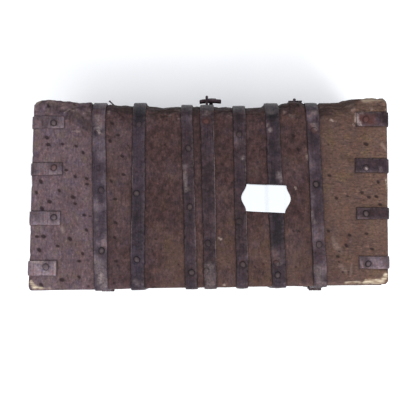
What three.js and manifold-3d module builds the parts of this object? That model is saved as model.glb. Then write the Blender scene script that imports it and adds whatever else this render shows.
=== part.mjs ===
// A small wooden casket covered in leather and bound with forged iron straps.
// The lid turns on two strap hinges at the back. A hasp hangs from a staple on the lid's front,
// and its lug goes through a slot in the lock plate, where a sliding bolt holds it.
// Millimetres. +X is to the right of someone facing the front, the front faces -Y, +Z is up.
// The origin is in the middle of the underside, level with the straps that the casket stands on.
import * as THREE from "three";
import { mergeVertices } from "three/addons/utils/BufferGeometryUtils.js";
import Module from "manifold-3d";

const wasm = await Module();
wasm.setup();

// Overall sizes, over the leather
const caseLength = 194;
const caseDepth = 102;
const chestHeight = 61;
const lidHeight = 26;
const cornerRadius = 2.7;
const frontEdgeRadius = 8;
const plainEdgeRadius = 2.4;

// Materials and the play between them
const boardThickness = 8;
const frontBoardThickness = 9;
const leatherThickness = 1.2;
const layerGap = 0.1;
const seamGap = 0.4;
const overrun = 1;
const arcSteps = 4;
const roundSteps = 16;

// Iron straps. Their places are shares of the length from the middle, at the front and at the back.
const strapThickness = 1.1;
const strapWidth = 7;
const strapFrontShares = [0.308, 0.195, 0.06, 0.005, -0.087, -0.177, -0.291];
const strapBackShares = [0.2985, 0.1975, 0.05, -0.003, -0.091, -0.193, -0.303];
const hingeStraps = [0, 6];
const stapleStrap = 3;
const lastStrap = strapFrontShares.length - 1;
const tabLength = 17;
const endStrapShares = [0.116, 0.366, 0.625, 0.887];
const tabRivetShare = 0.735;

// Rivet heads. Their places on the lid are shares of the depth, from the front edge to the back.
const rivetRadius = 1.8;
const rivetHeight = 0.9;
const rivetSides = 8;
const lidRivetShares = [
  [0.175, 0.486, 0.806],
  [0.134, 0.506, 0.854],
  [0.265, 0.58, 0.924],
  [0.113, 0.77, 0.916],
  [0.193, 0.655, 0.884],
  [0.879, 0.942],
  [0.175, 0.466, 0.782],
];
const rimRivetShare = 0.45;
const wallRivetShares = [0.12, 0.8];

// Strap hinges
const pinRadius = 0.75;
const pinPlay = 0.08;
const barrelRadius = 1.6;
const knuckleWidth = 2.6;
const knuckleGap = 0.2;
const barrelClearance = 0.3;

// Staple and hasp. The pivot is the middle of the round bar at the hasp's top.
const pivotReach = 2.5;
const pivotHeightShare = 0.66;
const haspBarRadius = 1.1;
const haspBarLength = 12;
const stapleWireRadius = 0.7;
const stapleOffset = 2;
const staplePlay = 0.35;
const stapleReach = 2.4;
const stapleGrip = 5;
const haspThickness = 1.8;
const eyeLength = 9.5;
const eyeRimWidth = 2.1;
const shankWidth = 6;
const haspLength = 37;
const haspCrank = 0.8;
const curlReach = 0.9;

// Lug on the back of the hasp
const lugDrop = 30;
const lugHeight = 6;
const lugThickness = 2;
const lugHoleHeight = 3.2;
const lugHoleDepth = 2.6;
const lugTipWall = 1.2;
const lugHoleClearance = 0.25;

// At rest the hasp stands this far out from the plate, with its lug clear of the slot.
const restSwing = THREE.MathUtils.degToRad(11);

// Lock plate, bolt and the hollow that holds them
const plateThickness = 1;
const plateWidth = 22;
const plateHeight = 38;
const plateTopMargin = 0.6;
const plateCornerRadius = 2;
const plateNailInset = 2.4;
const slotClearance = 0.4;
const keyholeRadius = 1.6;
const keyholeSlitWidth = 1.2;
const keyholeSlitLength = 4;
const keyDrop = 31.5;
const mortiseWidth = 21;
const mortiseMargin = 0.6;
const mortiseRise = 6;
const mortiseFall = 4.5;
const boltThickness = 1.8;
const boltTravel = 3.6;
const noseHeight = 2;
const noseClearance = 0.5;
const boltBodyWidth = 2.8;
const boltBodyHeight = 5;
const tailDrop = 5.4;
const tailHeight = 2.2;
const guideWidth = 1.4;
const guideThickness = 0.6;
const slideClearance = 0.15;
const springThickness = 0.5;
const springWidth = 1.6;
const springClearance = 0.3;
const springFootLength = 3;
const keyPostRadius = 0.8;

// Small fixings on the lid's front
const roveGap = 0.75;
const eyeStapleReach = 0.3;
const eyeStapleWireRadius = 0.75;
const eyeStapleHalfWidth = 2.2;
const roveWidth = 7.6;
const roveHeight = 5;
const roveThickness = 0.8;
const wireShare = 0.274;
const wireRadius = 0.4;
const wireReach = 2.9;
const wireSlant = 3.1;
const fixingHeightShare = 0.72;

// Room round a fixing where it goes through the leather and into the wood
const drillPlay = 0.15;

// Levels and half sizes that follow from the above
const halfLength = caseLength / 2;
const halfDepth = caseDepth / 2;
const woodInset = leatherThickness + layerGap;
const seamHeight = strapThickness + layerGap + chestHeight;
const strapNear = layerGap;
const strapFar = layerGap + strapThickness;

// Heights above the lid's rim, up the walls below its flat board
const lidWallHeight = lidHeight - woodInset - boardThickness;
const pivotHeight = pivotHeightShare * lidWallHeight;
const fixingHeight = fixingHeightShare * lidWallHeight;

// Directions and turns
const right = new THREE.Vector3(1, 0, 0);
const back = new THREE.Vector3(0, 1, 0);
const up = new THREE.Vector3(0, 0, 1);
const front = back.clone().negate();
const acrossX = new THREE.Matrix4().makeBasis(back, up, right);
const acrossY = new THREE.Matrix4().makeBasis(right, up, front);
const acrossZ = new THREE.Matrix4();
const upsideDown = new THREE.Matrix4().makeRotationX(Math.PI);

// Solids from three.js geometry, and back
function solidOf(geometry) {
  const bare = geometry.clone();
  bare.deleteAttribute("normal");
  bare.deleteAttribute("uv");
  const merged = mergeVertices(bare);
  const vertProperties = new Float32Array(merged.attributes.position.array);
  const triVerts = new Uint32Array(merged.index.array);
  return new wasm.Manifold(new wasm.Mesh({ numProp: 3, vertProperties, triVerts }));
}

function geometryOf(solid) {
  const mesh = solid.getMesh();
  const geometry = new THREE.BufferGeometry();
  geometry.setAttribute("position", new THREE.BufferAttribute(mesh.vertProperties, 3));
  geometry.setIndex(new THREE.BufferAttribute(mesh.triVerts, 1));
  return geometry;
}

function moved(solid, matrix) {
  return solidOf(geometryOf(solid).applyMatrix4(matrix));
}

function joined(solids) {
  return solids.reduce((whole, piece) => whole.add(piece));
}

// A mesh with flat shading, named as the piece that it is.
function pieceOf(name, solid, material) {
  const geometry = geometryOf(solid).toNonIndexed();
  geometry.computeVertexNormals();
  const mesh = new THREE.Mesh(geometry, material);
  mesh.name = name;
  return mesh;
}

// An outline given length along X, Y or Z, centred on zero.
function extruded(outline, length, across, steps = arcSteps) {
  const settings = { depth: length, bevelEnabled: false, curveSegments: steps };
  const geometry = new THREE.ExtrudeGeometry(outline, settings);
  geometry.translate(0, 0, -length / 2);
  geometry.applyMatrix4(across);
  return solidOf(geometry);
}

function box(low, high) {
  const size = high.clone().sub(low);
  const middle = low.clone().add(high).multiplyScalar(1 / 2);
  const geometry = new THREE.BoxGeometry(size.x, size.y, size.z);
  geometry.translate(middle.x, middle.y, middle.z);
  return solidOf(geometry);
}

function point(x, y, z) {
  return new THREE.Vector3(x, y, z);
}

// A rod of the given radius from one point to another.
function rod(start, end, radius, sides = rivetSides) {
  const along = end.clone().sub(start);
  const geometry = new THREE.CylinderGeometry(radius, radius, along.length(), sides);
  const turn = new THREE.Quaternion().setFromUnitVectors(back, along.clone().normalize());
  geometry.applyQuaternion(turn);
  const middle = start.clone().add(end).multiplyScalar(1 / 2);
  geometry.translate(middle.x, middle.y, middle.z);
  return solidOf(geometry);
}

// A rectangle with a radius at each corner: low left, low right, high right, high left.
function roundedRectangle(lowU, lowV, highU, highV, radii) {
  const [lowLeft, lowRight, highRight, highLeft] = radii;
  const outline = new THREE.Shape();
  const quarter = Math.PI / 2;
  const corner = (u, v, radius, start) => {
    if (radius > 0) outline.absarc(u, v, radius, start, start + quarter, false);
    else outline.lineTo(u, v);
  };
  outline.moveTo(lowU + lowLeft, lowV);
  corner(highU - lowRight, lowV + lowRight, lowRight, -quarter);
  corner(highU - highRight, highV - highRight, highRight, 0);
  corner(lowU + highLeft, highV - highLeft, highLeft, quarter);
  corner(lowU + lowLeft, lowV + lowLeft, lowLeft, 2 * quarter);
  return outline;
}

// The body of the lid, standing on its rim at zero, with its edges rounded and its faces set in.
// The chest is the same form turned upside down.
function coveredBlock(height, edgeRadius, inset) {
  const length = halfLength - inset;
  const depth = halfDepth - inset;
  const top = height - inset;
  const upright = cornerRadius - inset;
  const plain = plainEdgeRadius - inset;
  const plan = roundedRectangle(-length, -depth, length, depth, [upright, upright, upright, upright]);
  const side = roundedRectangle(-depth, 0, depth, top, [0, 0, plain, edgeRadius - inset]);
  const end = roundedRectangle(-length, 0, length, top, [0, 0, plain, plain]);
  return extruded(plan, 2 * top, acrossZ)
    .intersect(extruded(side, 2 * length, acrossX))
    .intersect(extruded(end, 2 * depth, acrossY));
}

// The hollow inside the walls, from below the rim up to the given level.
function hollow(frontThickness, backThickness, top) {
  const inner = halfLength - woodInset - boardThickness;
  const low = point(-inner, -halfDepth + woodInset + frontThickness, -overrun);
  const high = point(inner, halfDepth - woodInset - backThickness, top);
  return box(low, high);
}

// Leather drawn over the outside and turned in across the rim.
function leatherCover(height, edgeRadius, frontThickness, backThickness) {
  const inner = coveredBlock(height, edgeRadius, leatherThickness);
  const bandLow = point(-caseLength, -caseDepth, -overrun);
  const rimBand = box(bandLow, point(caseLength, caseDepth, leatherThickness));
  return coveredBlock(height, edgeRadius, 0)
    .subtract(inner.subtract(rimBand))
    .subtract(hollow(frontThickness, backThickness, leatherThickness + overrun));
}

// Five boards: a flat one that closes the box, and four on edge between it and the rim.
function boards(height, edgeRadius, frontThickness, backThickness) {
  const wood = coveredBlock(height, edgeRadius, woodInset);
  const flatLevel = height - woodInset - boardThickness;
  const wallTop = flatLevel - layerGap;
  const frontInner = -halfDepth + woodInset + frontThickness;
  const backInner = halfDepth - woodInset - backThickness;
  const endInner = halfLength - woodInset - boardThickness;
  const part = (low, high) => wood.intersect(box(low, high));
  return {
    flat: part(point(-caseLength, -caseDepth, flatLevel), point(caseLength, caseDepth, height)),
    front: part(point(-caseLength, -caseDepth, woodInset), point(caseLength, frontInner, wallTop)),
    back: part(point(-caseLength, backInner, woodInset), point(caseLength, caseDepth, wallTop)),
    right: part(
      point(endInner, frontInner + layerGap, woodInset),
      point(caseLength, backInner - layerGap, wallTop),
    ),
    left: part(
      point(-caseLength, frontInner + layerGap, woodInset),
      point(-endInner, backInner - layerGap, wallTop),
    ),
  };
}

// A domed rivet head, its base sunk a little into the iron, looking along the given direction.
function rivetHead(place, direction) {
  const profile = [
    new THREE.Vector2(0, -strapThickness / 2),
    new THREE.Vector2(rivetRadius, -strapThickness / 2),
    new THREE.Vector2(rivetRadius, rivetHeight * 0.3),
    new THREE.Vector2(rivetRadius * 0.7, rivetHeight * 0.8),
    new THREE.Vector2(0, rivetHeight),
  ];
  const geometry = new THREE.LatheGeometry(profile, rivetSides);
  geometry.applyQuaternion(new THREE.Quaternion().setFromUnitVectors(back, direction));
  geometry.translate(place.x, place.y, place.z);
  return solidOf(geometry);
}

// The outline of a strap, in Y and Z, that goes up the front, over the top and down the back.
function bandOutline(height, edgeRadius, frontFoot, backFoot) {
  const outline = new THREE.Shape();
  const quarter = Math.PI / 2;
  const frontBend = [-halfDepth + edgeRadius, height - edgeRadius];
  const backBend = [halfDepth - plainEdgeRadius, height - plainEdgeRadius];
  outline.moveTo(-halfDepth - strapNear, frontFoot);
  outline.lineTo(-halfDepth - strapFar, frontFoot);
  outline.absarc(...frontBend, edgeRadius + strapFar, 2 * quarter, quarter, true);
  outline.absarc(...backBend, plainEdgeRadius + strapFar, quarter, 0, true);
  outline.lineTo(halfDepth + strapFar, backFoot);
  outline.lineTo(halfDepth + strapNear, backFoot);
  outline.absarc(...backBend, plainEdgeRadius + strapNear, 0, quarter, false);
  outline.absarc(...frontBend, edgeRadius + strapNear, quarter, 2 * quarter, false);
  return outline;
}

// Where a strap runs, in X, at a place along the depth.
function strapX(index, y) {
  const frontX = strapFrontShares[index] * caseLength;
  const backX = strapBackShares[index] * caseLength;
  return frontX + ((backX - frontX) * (y + halfDepth)) / caseDepth;
}

// The slant that carries a straight strap to its place at the front and at the back.
function strapSlant(index) {
  const slope = (strapX(index, halfDepth) - strapX(index, -halfDepth)) / caseDepth;
  const slant = new THREE.Matrix4();
  slant.elements[4] = slope;
  slant.elements[12] = strapX(index, 0);
  return slant;
}

function slantedBand(index, outline) {
  return moved(extruded(outline, strapWidth, acrossX), strapSlant(index));
}

const hingeY = halfDepth + strapFar;
const outerKnuckleWidth = (strapWidth - knuckleWidth) / 2 - knuckleGap;

// A knuckle round the hinge pin with the neck that joins it to its strap.
// The levels are measured from the pin, and the neck runs from the pin to the strap's foot.
function knuckle(middleX, width, foot, pinLevel) {
  const reach = point(width / 2, 0, 0);
  const centre = point(middleX, hingeY, pinLevel);
  const barrel = rod(centre.clone().sub(reach), centre.clone().add(reach), barrelRadius, roundSteps);
  const neckY = [hingeY - strapThickness, hingeY];
  const neckZ = [Math.min(foot, 0), Math.max(foot, 0)].map((level) => level + pinLevel);
  const neck = box(
    point(middleX - width / 2, neckY[0], neckZ[0]),
    point(middleX + width / 2, neckY[1], neckZ[1]),
  );
  const boreReach = point(width / 2 + overrun, 0, 0);
  const boreRadius = pinRadius + pinPlay;
  const bore = rod(centre.clone().sub(boreReach), centre.clone().add(boreReach), boreRadius, roundSteps);
  return barrel.add(neck).subtract(bore);
}

function knuckleOffsets() {
  const side = knuckleWidth / 2 + knuckleGap + outerKnuckleWidth / 2;
  return [-side, side];
}

// Room for a hinge barrel in the leather at the seam.
function barrelRoom(index, pinLevel) {
  const reach = point(strapWidth / 2 + barrelClearance, 0, 0);
  const centre = point(strapX(index, halfDepth), hingeY, pinLevel);
  const radius = barrelRadius + barrelClearance;
  return rod(centre.clone().sub(reach), centre.clone().add(reach), radius, roundSteps);
}

const hingeFoot = barrelRadius + barrelClearance;

// The leg of a hinge strap overlaps its neck by this much, so that the two are one piece.
const neckLap = strapThickness;

function lidStrap(index) {
  const hinged = hingeStraps.includes(index);
  const pinLevel = -seamGap / 2;
  const backFoot = hinged ? pinLevel + hingeFoot : 0;
  const band = slantedBand(index, bandOutline(lidHeight, frontEdgeRadius, 0, backFoot));
  const top = lidHeight + strapFar;
  const heads = lidRivetShares[index].map((share) => {
    const y = (share - 1 / 2) * caseDepth;
    return rivetHead(point(strapX(index, y), y, top), up);
  });
  const rim = lidHeight * rimRivetShare;
  const face = halfDepth + strapFar;
  heads.push(rivetHead(point(strapX(index, halfDepth), face, rim), back));
  const parts = [band, ...heads];
  if (hinged) parts.push(knuckle(strapX(index, halfDepth), knuckleWidth, hingeFoot + neckLap, pinLevel));
  return joined(parts);
}

// A chest strap, drawn below the rim: down the front, under the base and up the back.
function chestStrap(index, plateEdges) {
  const hinged = hingeStraps.includes(index);
  const pinLevel = seamGap / 2;
  const backFoot = hinged ? pinLevel - hingeFoot : 0;
  const frontX = strapX(index, -halfDepth);
  const rightEdge = frontX + strapWidth / 2;
  const leftEdge = frontX - strapWidth / 2;
  const behindPlate = leftEdge < plateEdges.right && rightEdge > plateEdges.left;
  const frontFoot = behindPlate ? plateEdges.bottom - layerGap : 0;
  const outline = bandOutline(chestHeight, plainEdgeRadius, -backFoot, -frontFoot);
  const level = extruded(outline, strapWidth, acrossX);
  const band = moved(moved(level, upsideDown), strapSlant(index));
  const face = halfDepth + strapFar;
  const heads = wallRivetShares.map((share) => {
    return rivetHead(point(strapX(index, halfDepth), face, -chestHeight * share), back);
  });
  const frontShares = behindPlate ? wallRivetShares.slice(1) : wallRivetShares;
  for (const share of frontShares) heads.push(rivetHead(point(frontX, -face, -chestHeight * share), front));
  const parts = [band, ...heads];
  if (hinged) {
    for (const offset of knuckleOffsets()) {
      const middleX = strapX(index, halfDepth) + offset;
      parts.push(knuckle(middleX, outerKnuckleWidth, -hingeFoot - neckLap, pinLevel));
    }
  }
  return joined(parts);
}

// A short strap over one end: a tab on the flat face and a leg to the rim, at the +X end.
function endStrap(height, share) {
  const outline = new THREE.Shape();
  const quarter = Math.PI / 2;
  const bend = [halfLength - plainEdgeRadius, height - plainEdgeRadius];
  const tabEnd = halfLength - tabLength;
  outline.moveTo(tabEnd, height + strapNear);
  outline.lineTo(tabEnd, height + strapFar);
  outline.absarc(...bend, plainEdgeRadius + strapFar, quarter, 0, true);
  outline.lineTo(halfLength + strapFar, 0);
  outline.lineTo(halfLength + strapNear, 0);
  outline.absarc(...bend, plainEdgeRadius + strapNear, 0, quarter, false);
  const y = (share - 1 / 2) * caseDepth;
  const band = extruded(outline, strapWidth, acrossY);
  return { band, y };
}

function lidEndStrap(share) {
  const { band, y } = endStrap(lidHeight, share);
  const tabHead = rivetHead(point(halfLength - tabLength * tabRivetShare, 0, lidHeight + strapFar), up);
  const rimHead = rivetHead(point(halfLength + strapFar, 0, lidHeight * rimRivetShare), right);
  return moved(joined([band, tabHead, rimHead]), new THREE.Matrix4().makeTranslation(0, y, 0));
}

function chestEndStrap(share) {
  const { band, y } = endStrap(chestHeight, share);
  const heads = wallRivetShares.map((level) => {
    return rivetHead(point(halfLength + strapFar, 0, chestHeight * level), right);
  });
  const place = new THREE.Matrix4().makeTranslation(0, y, 0).multiply(upsideDown);
  return moved(joined([band, ...heads]), place);
}

const otherEnd = new THREE.Matrix4().makeRotationZ(Math.PI);

// The same strap at the -X end, at the same place along the depth.
function atOtherEnd(makeStrap, share) {
  return moved(makeStrap(1 - share), otherEnd);
}

// The hasp's pivot, from the lid's rim and from the chest's rim
const stapleX = strapX(stapleStrap, -halfDepth);
const haspX = stapleX - stapleOffset;
const pivotY = -halfDepth - pivotReach;
const pivotAboveChest = pivotHeight + seamGap;
const plateFace = -halfDepth - layerGap - plateThickness;
const plateInner = plateFace + plateThickness;

// The lug, measured from the pivot with the hasp hanging straight down, latched
const lugHoleStart = plateInner - pivotY + lugHoleClearance;
const lugHoleEnd = lugHoleStart + lugHoleDepth;
const lugTip = lugHoleEnd + lugTipWall;
const boltPlace = { y: pivotY + (lugHoleStart + lugHoleEnd) / 2, z: pivotAboveChest - lugDrop };

// The hasp as seen from the front, from the pivot down: an eye with two rims, a tapering shank
// and a rounded end. Only the half on the right is described, and it is mirrored.
function haspFace() {
  const rim = haspBarLength / 2;
  const shoulder = -eyeLength / 2;
  const neck = -eyeLength - eyeRimWidth;
  const outline = new THREE.Shape();
  outline.moveTo(rim, 0);
  outline.lineTo(rim, shoulder);
  outline.quadraticCurveTo(rim, -eyeLength, shankWidth / 2, neck);
  outline.lineTo(shankWidth / 2, -haspLength);
  outline.lineTo(-shankWidth / 2, -haspLength);
  outline.lineTo(-shankWidth / 2, neck);
  outline.quadraticCurveTo(-rim, -eyeLength, -rim, shoulder);
  outline.lineTo(-rim, 0);
  const innerRim = rim - eyeRimWidth;
  const hole = new THREE.Path();
  hole.moveTo(innerRim, overrun);
  hole.lineTo(innerRim, shoulder);
  hole.quadraticCurveTo(innerRim, -eyeLength, 0, -eyeLength);
  hole.quadraticCurveTo(-innerRim, -eyeLength, -innerRim, shoulder);
  hole.lineTo(-innerRim, overrun);
  return { outline, hole: new THREE.Shape(hole.getPoints(arcSteps)) };
}

// A strip of even thickness along a curve drawn in two directions.
function stripOutline(curve, thickness, steps) {
  const sides = [-1, 1].map((side) => {
    return curve.getSpacedPoints(steps).map((place, i) => {
      const along = curve.getTangentAt(i / steps);
      const offset = (side * thickness) / 2;
      return new THREE.Vector2(place.x - along.y * offset, place.y + along.x * offset);
    });
  });
  return new THREE.Shape([...sides[0], ...sides[1].reverse()]);
}

// The hasp from the side, in Y and Z: straight at the eye, cranked outwards over the plate,
// with its end turned out a little as a finger grip.
function haspSide() {
  const curve = new THREE.SplineCurve([
    new THREE.Vector2(0, 0),
    new THREE.Vector2(0, -eyeLength),
    new THREE.Vector2(-haspCrank * 0.7, -lugDrop * 0.6),
    new THREE.Vector2(-haspCrank, -lugDrop),
    new THREE.Vector2(-haspCrank - curlReach * 0.25, -haspLength + haspThickness * 1.2),
    new THREE.Vector2(-haspCrank - curlReach, -haspLength + haspThickness / 2),
  ]);
  return stripOutline(curve, haspThickness, roundSteps);
}

// The lug that the bolt passes through, on the back of the hasp.
function haspLug() {
  const outline = roundedRectangle(
    -haspCrank, -lugDrop - lugHeight / 2, lugTip, -lugDrop + lugHeight / 2,
    [0, lugTipWall, lugTipWall, 0],
  );
  const hole = roundedRectangle(
    lugHoleStart, -lugDrop - lugHoleHeight / 2, lugHoleEnd, -lugDrop + lugHoleHeight / 2,
    [0, 0, 0, 0],
  );
  const plate = extruded(outline, lugThickness, acrossX);
  return plate.subtract(extruded(hole, lugThickness + 2 * overrun, acrossX));
}

function haspSolid() {
  const { outline, hole } = haspFace();
  const reach = 2 * (haspCrank + curlReach + haspThickness);
  const face = extruded(outline, reach, acrossY).subtract(extruded(hole, reach + overrun, acrossY));
  const side = extruded(haspSide(), haspBarLength + overrun, acrossX);
  const barEnd = point(haspBarLength / 2, 0, 0);
  const bar = rod(barEnd.clone().negate(), barEnd, haspBarRadius, rivetSides);
  return joined([face.intersect(side), bar, haspLug()]);
}

// A wire loop with two legs, one above the other, in Y and Z round a middle point.
// It reaches out past the point and its legs run back into the wood.
function stapleSolid(middle, halfHeight, reachOut, legLength, wire) {
  const path = new THREE.CurvePath();
  const top = middle.z + halfHeight;
  const low = middle.z - halfHeight;
  const nose = middle.y - reachOut;
  const bend = nose + halfHeight;
  const at = (y, z) => point(middle.x, y, z);
  path.add(new THREE.LineCurve3(at(bend + legLength, top), at(bend, top)));
  path.add(new THREE.QuadraticBezierCurve3(at(bend, top), at(nose, top), at(nose, middle.z)));
  path.add(new THREE.QuadraticBezierCurve3(at(nose, middle.z), at(nose, low), at(bend, low)));
  path.add(new THREE.LineCurve3(at(bend, low), at(bend + legLength, low)));
  const section = new THREE.Shape();
  section.absarc(0, 0, wire, 0, 2 * Math.PI, false);
  const settings = { extrudePath: path, steps: roundSteps, curveSegments: arcSteps, bevelEnabled: false };
  return solidOf(new THREE.ExtrudeGeometry(section, settings));
}

// The lock, from the plate's outer face inwards. Heights are below the chest's rim.
const plateTop = -plateTopMargin;
const plateBottom = plateTop - plateHeight;
const plateEdges = { left: haspX - plateWidth / 2, right: haspX + plateWidth / 2, bottom: plateBottom };
const slotTop = boltPlace.z + lugHeight / 2 + slotClearance;
const lugDip = lugTip * Math.sin(restSwing);
const slotBottom = boltPlace.z - lugHeight / 2 - lugDip - slotClearance;
const slotHalfWidth = lugThickness / 2 + slotClearance;
const keyZ = -keyDrop;
const mortiseBack = pivotY + lugTip + mortiseMargin;

function lockPlate() {
  const corner = plateCornerRadius;
  const outline = roundedRectangle(
    plateEdges.left, plateBottom, plateEdges.right, plateTop, [corner, corner, corner, corner],
  );
  const slot = box(
    point(haspX - slotHalfWidth, plateFace - overrun, slotBottom),
    point(haspX + slotHalfWidth, plateInner + overrun, slotTop),
  );
  const throughPlate = [point(haspX, plateFace - overrun, keyZ), point(haspX, plateInner + overrun, keyZ)];
  const keyhole = rod(...throughPlate, keyholeRadius, roundSteps);
  const slit = box(
    point(haspX - keyholeSlitWidth / 2, plateFace - overrun, keyZ - keyholeSlitLength),
    point(haspX + keyholeSlitWidth / 2, plateInner + overrun, keyZ),
  );
  const middle = new THREE.Matrix4().makeTranslation(0, (plateFace + plateInner) / 2, 0);
  const plate = moved(extruded(outline, plateThickness, acrossY), middle);
  const nails = [plateTop - plateNailInset, plateBottom + plateNailInset].flatMap((z) => {
    return [plateEdges.left + plateNailInset, plateEdges.right - plateNailInset].map((x) => {
      return rivetHead(point(x, plateFace, z), front);
    });
  });
  return joined([plate, ...nails]).subtract(joined([slot, keyhole, slit]));
}

// The hollow cut through the leather and into the front board behind the plate.
function mortise() {
  return box(
    point(haspX - mortiseWidth / 2, plateInner - overrun, keyZ - mortiseFall),
    point(haspX + mortiseWidth / 2, mortiseBack, slotTop + mortiseRise / 2),
  );
}

// The bolt: a nose that passes through the lug, a body at its side, and a tail below that the key
// turns against. It is drawn withdrawn.
const noseEnd = haspX + lugThickness / 2 + noseClearance;
const bodyStart = noseEnd + boltTravel + guideWidth + noseClearance;
const bodyEnd = bodyStart + boltBodyWidth;
const bodyTop = boltPlace.z + boltBodyHeight / 2;
const tailTop = boltPlace.z - tailDrop;
const tailEnd = haspX - boltTravel - guideWidth;

function lockBolt() {
  const outline = new THREE.Shape();
  const halfNose = noseHeight / 2;
  outline.moveTo(noseEnd, boltPlace.z - halfNose);
  outline.lineTo(bodyStart, boltPlace.z - halfNose);
  outline.lineTo(bodyStart, tailTop);
  outline.lineTo(tailEnd, tailTop);
  outline.lineTo(tailEnd, tailTop - tailHeight);
  outline.lineTo(bodyEnd, tailTop - tailHeight);
  outline.lineTo(bodyEnd, bodyTop);
  outline.lineTo(bodyStart, bodyTop);
  outline.lineTo(bodyStart, boltPlace.z + halfNose);
  outline.lineTo(noseEnd, boltPlace.z + halfNose);
  return extruded(outline, boltThickness, acrossY);
}

// A bridge over the bolt, its two feet on the back of the plate.
function boltGuide(middleX, lowZ, highZ) {
  const inside = { low: lowZ - slideClearance, high: highZ + slideClearance };
  const boltBack = boltPlace.y + boltThickness / 2 + slideClearance;
  const foot = plateInner + layerGap;
  const outline = new THREE.Shape();
  outline.moveTo(foot, inside.low - guideThickness);
  outline.lineTo(boltBack + guideThickness, inside.low - guideThickness);
  outline.lineTo(boltBack + guideThickness, inside.high + guideThickness);
  outline.lineTo(foot, inside.high + guideThickness);
  outline.lineTo(foot, inside.high);
  outline.lineTo(boltBack, inside.high);
  outline.lineTo(boltBack, inside.low);
  outline.lineTo(foot, inside.low);
  return moved(extruded(outline, guideWidth, acrossX), new THREE.Matrix4().makeTranslation(middleX, 0, 0));
}

// A leaf that presses on the bolt's body from above, its other end bent up.
function boltSpring() {
  const leafLevel = bodyTop + springClearance + springThickness / 2;
  const farEnd = haspX - mortiseWidth / 2 + slideClearance + springThickness;
  const curve = new THREE.SplineCurve([
    new THREE.Vector2(farEnd, leafLevel + springFootLength),
    new THREE.Vector2(farEnd + springFootLength, leafLevel + springFootLength * 0.8),
    new THREE.Vector2(haspX, leafLevel + springFootLength * 0.3),
    new THREE.Vector2(bodyStart + boltBodyWidth / 2, leafLevel),
    new THREE.Vector2(bodyEnd, leafLevel + springThickness),
  ]);
  const leaf = extruded(stripOutline(curve, springThickness, arcSteps * 2), springWidth, acrossY);
  return moved(leaf, new THREE.Matrix4().makeTranslation(0, plateInner + layerGap + springWidth / 2, 0));
}

function keyPost() {
  return rod(
    point(haspX, mortiseBack - layerGap, keyZ), point(haspX, plateInner, keyZ), keyPostRadius, rivetSides,
  );
}

// The main staple, and the small one near the -X end, each with the room for its legs.
const stapleHalfHeight = haspBarRadius + staplePlay + stapleWireRadius;
const roveX = strapX(lastStrap, -halfDepth) + strapWidth / 2 + roveGap + roveWidth / 2;

function haspStaple(wire) {
  const middle = point(stapleX, pivotY, pivotHeight);
  return stapleSolid(middle, stapleHalfHeight, stapleReach, pivotReach + stapleGrip, wire);
}

function smallStaple(wire) {
  const nose = point(roveX, -halfDepth - eyeStapleReach, fixingHeight);
  return stapleSolid(nose, eyeStapleHalfWidth, eyeStapleHalfWidth, eyeStapleReach + stapleGrip, wire);
}

// The thin plate that the small staple is driven through.
function rove() {
  const half = roveWidth / 2;
  const low = point(roveX - half, -halfDepth - layerGap - roveThickness, fixingHeight - roveHeight);
  const high = point(roveX + half, -halfDepth - layerGap, fixingHeight + roveHeight);
  return box(low, high);
}

// A bent end of wire that stands out of the front at a slant.
function wireEnd(radius) {
  const middleX = wireShare * caseLength;
  const root = point(middleX, -halfDepth + stapleGrip, fixingHeight);
  const surface = point(middleX, -halfDepth, fixingHeight);
  const tip = point(middleX + wireSlant, -halfDepth - wireReach, fixingHeight);
  return joined([rod(root, surface, radius), rod(surface, tip, radius)]);
}

const iron = new THREE.MeshStandardMaterial({ color: 0x4b444b, roughness: 0.62, metalness: 0.75 });
const brightIron = new THREE.MeshStandardMaterial({ color: 0x5d565a, roughness: 0.45, metalness: 0.85 });
const leather = new THREE.MeshStandardMaterial({ color: 0x5a4543, roughness: 0.78, metalness: 0 });
const wood = new THREE.MeshStandardMaterial({ color: 0x8b6b4c, roughness: 0.85, metalness: 0 });

function chestGroup() {
  const group = new THREE.Group();
  group.position.z = seamHeight;
  const hold = (name, solid, material) => group.add(pieceOf(name, solid, material));
  const wall = boards(chestHeight, plainEdgeRadius, boardThickness, frontBoardThickness);
  const turned = (solid) => moved(solid, upsideDown);
  const room = mortise();
  hold("base_board", turned(wall.flat), wood);
  hold("front_board", turned(wall.back).subtract(room), wood);
  hold("back_board", turned(wall.front), wood);
  hold("right_end_board", turned(wall.right), wood);
  hold("left_end_board", turned(wall.left), wood);
  const cover = turned(leatherCover(chestHeight, plainEdgeRadius, boardThickness, frontBoardThickness));
  const barrels = hingeStraps.map((index) => barrelRoom(index, seamGap / 2));
  hold("chest_leather", cover.subtract(joined([room, ...barrels])), leather);
  strapFrontShares.forEach((_, index) => {
    hold(`chest_strap_${index + 1}`, chestStrap(index, plateEdges), iron);
  });
  endStrapShares.forEach((share, index) => {
    hold(`chest_right_end_strap_${index + 1}`, chestEndStrap(share), iron);
    hold(`chest_left_end_strap_${index + 1}`, atOtherEnd(chestEndStrap, share), iron);
  });
  for (const [index, side] of [[hingeStraps[0], "right"], [hingeStraps[1], "left"]]) {
    const middle = point(strapX(index, halfDepth), hingeY, seamGap / 2);
    const reach = point(strapWidth / 2, 0, 0);
    const ends = [middle.clone().sub(reach), middle.clone().add(reach)];
    hold(`${side}_hinge_pin`, rod(...ends, pinRadius, roundSteps), brightIron);
  }
  hold("lock_plate", lockPlate(), iron);
  const halfNose = noseHeight / 2;
  const noseGuideX = noseEnd + guideWidth / 2 + slideClearance;
  const tailGuideX = haspX - guideWidth;
  hold("nose_guide", boltGuide(noseGuideX, boltPlace.z - halfNose, boltPlace.z + halfNose), brightIron);
  hold("tail_guide", boltGuide(tailGuideX, tailTop - tailHeight, tailTop), brightIron);
  hold("bolt_spring", boltSpring(), brightIron);
  hold("key_post", keyPost(), brightIron);
  return group;
}

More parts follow.
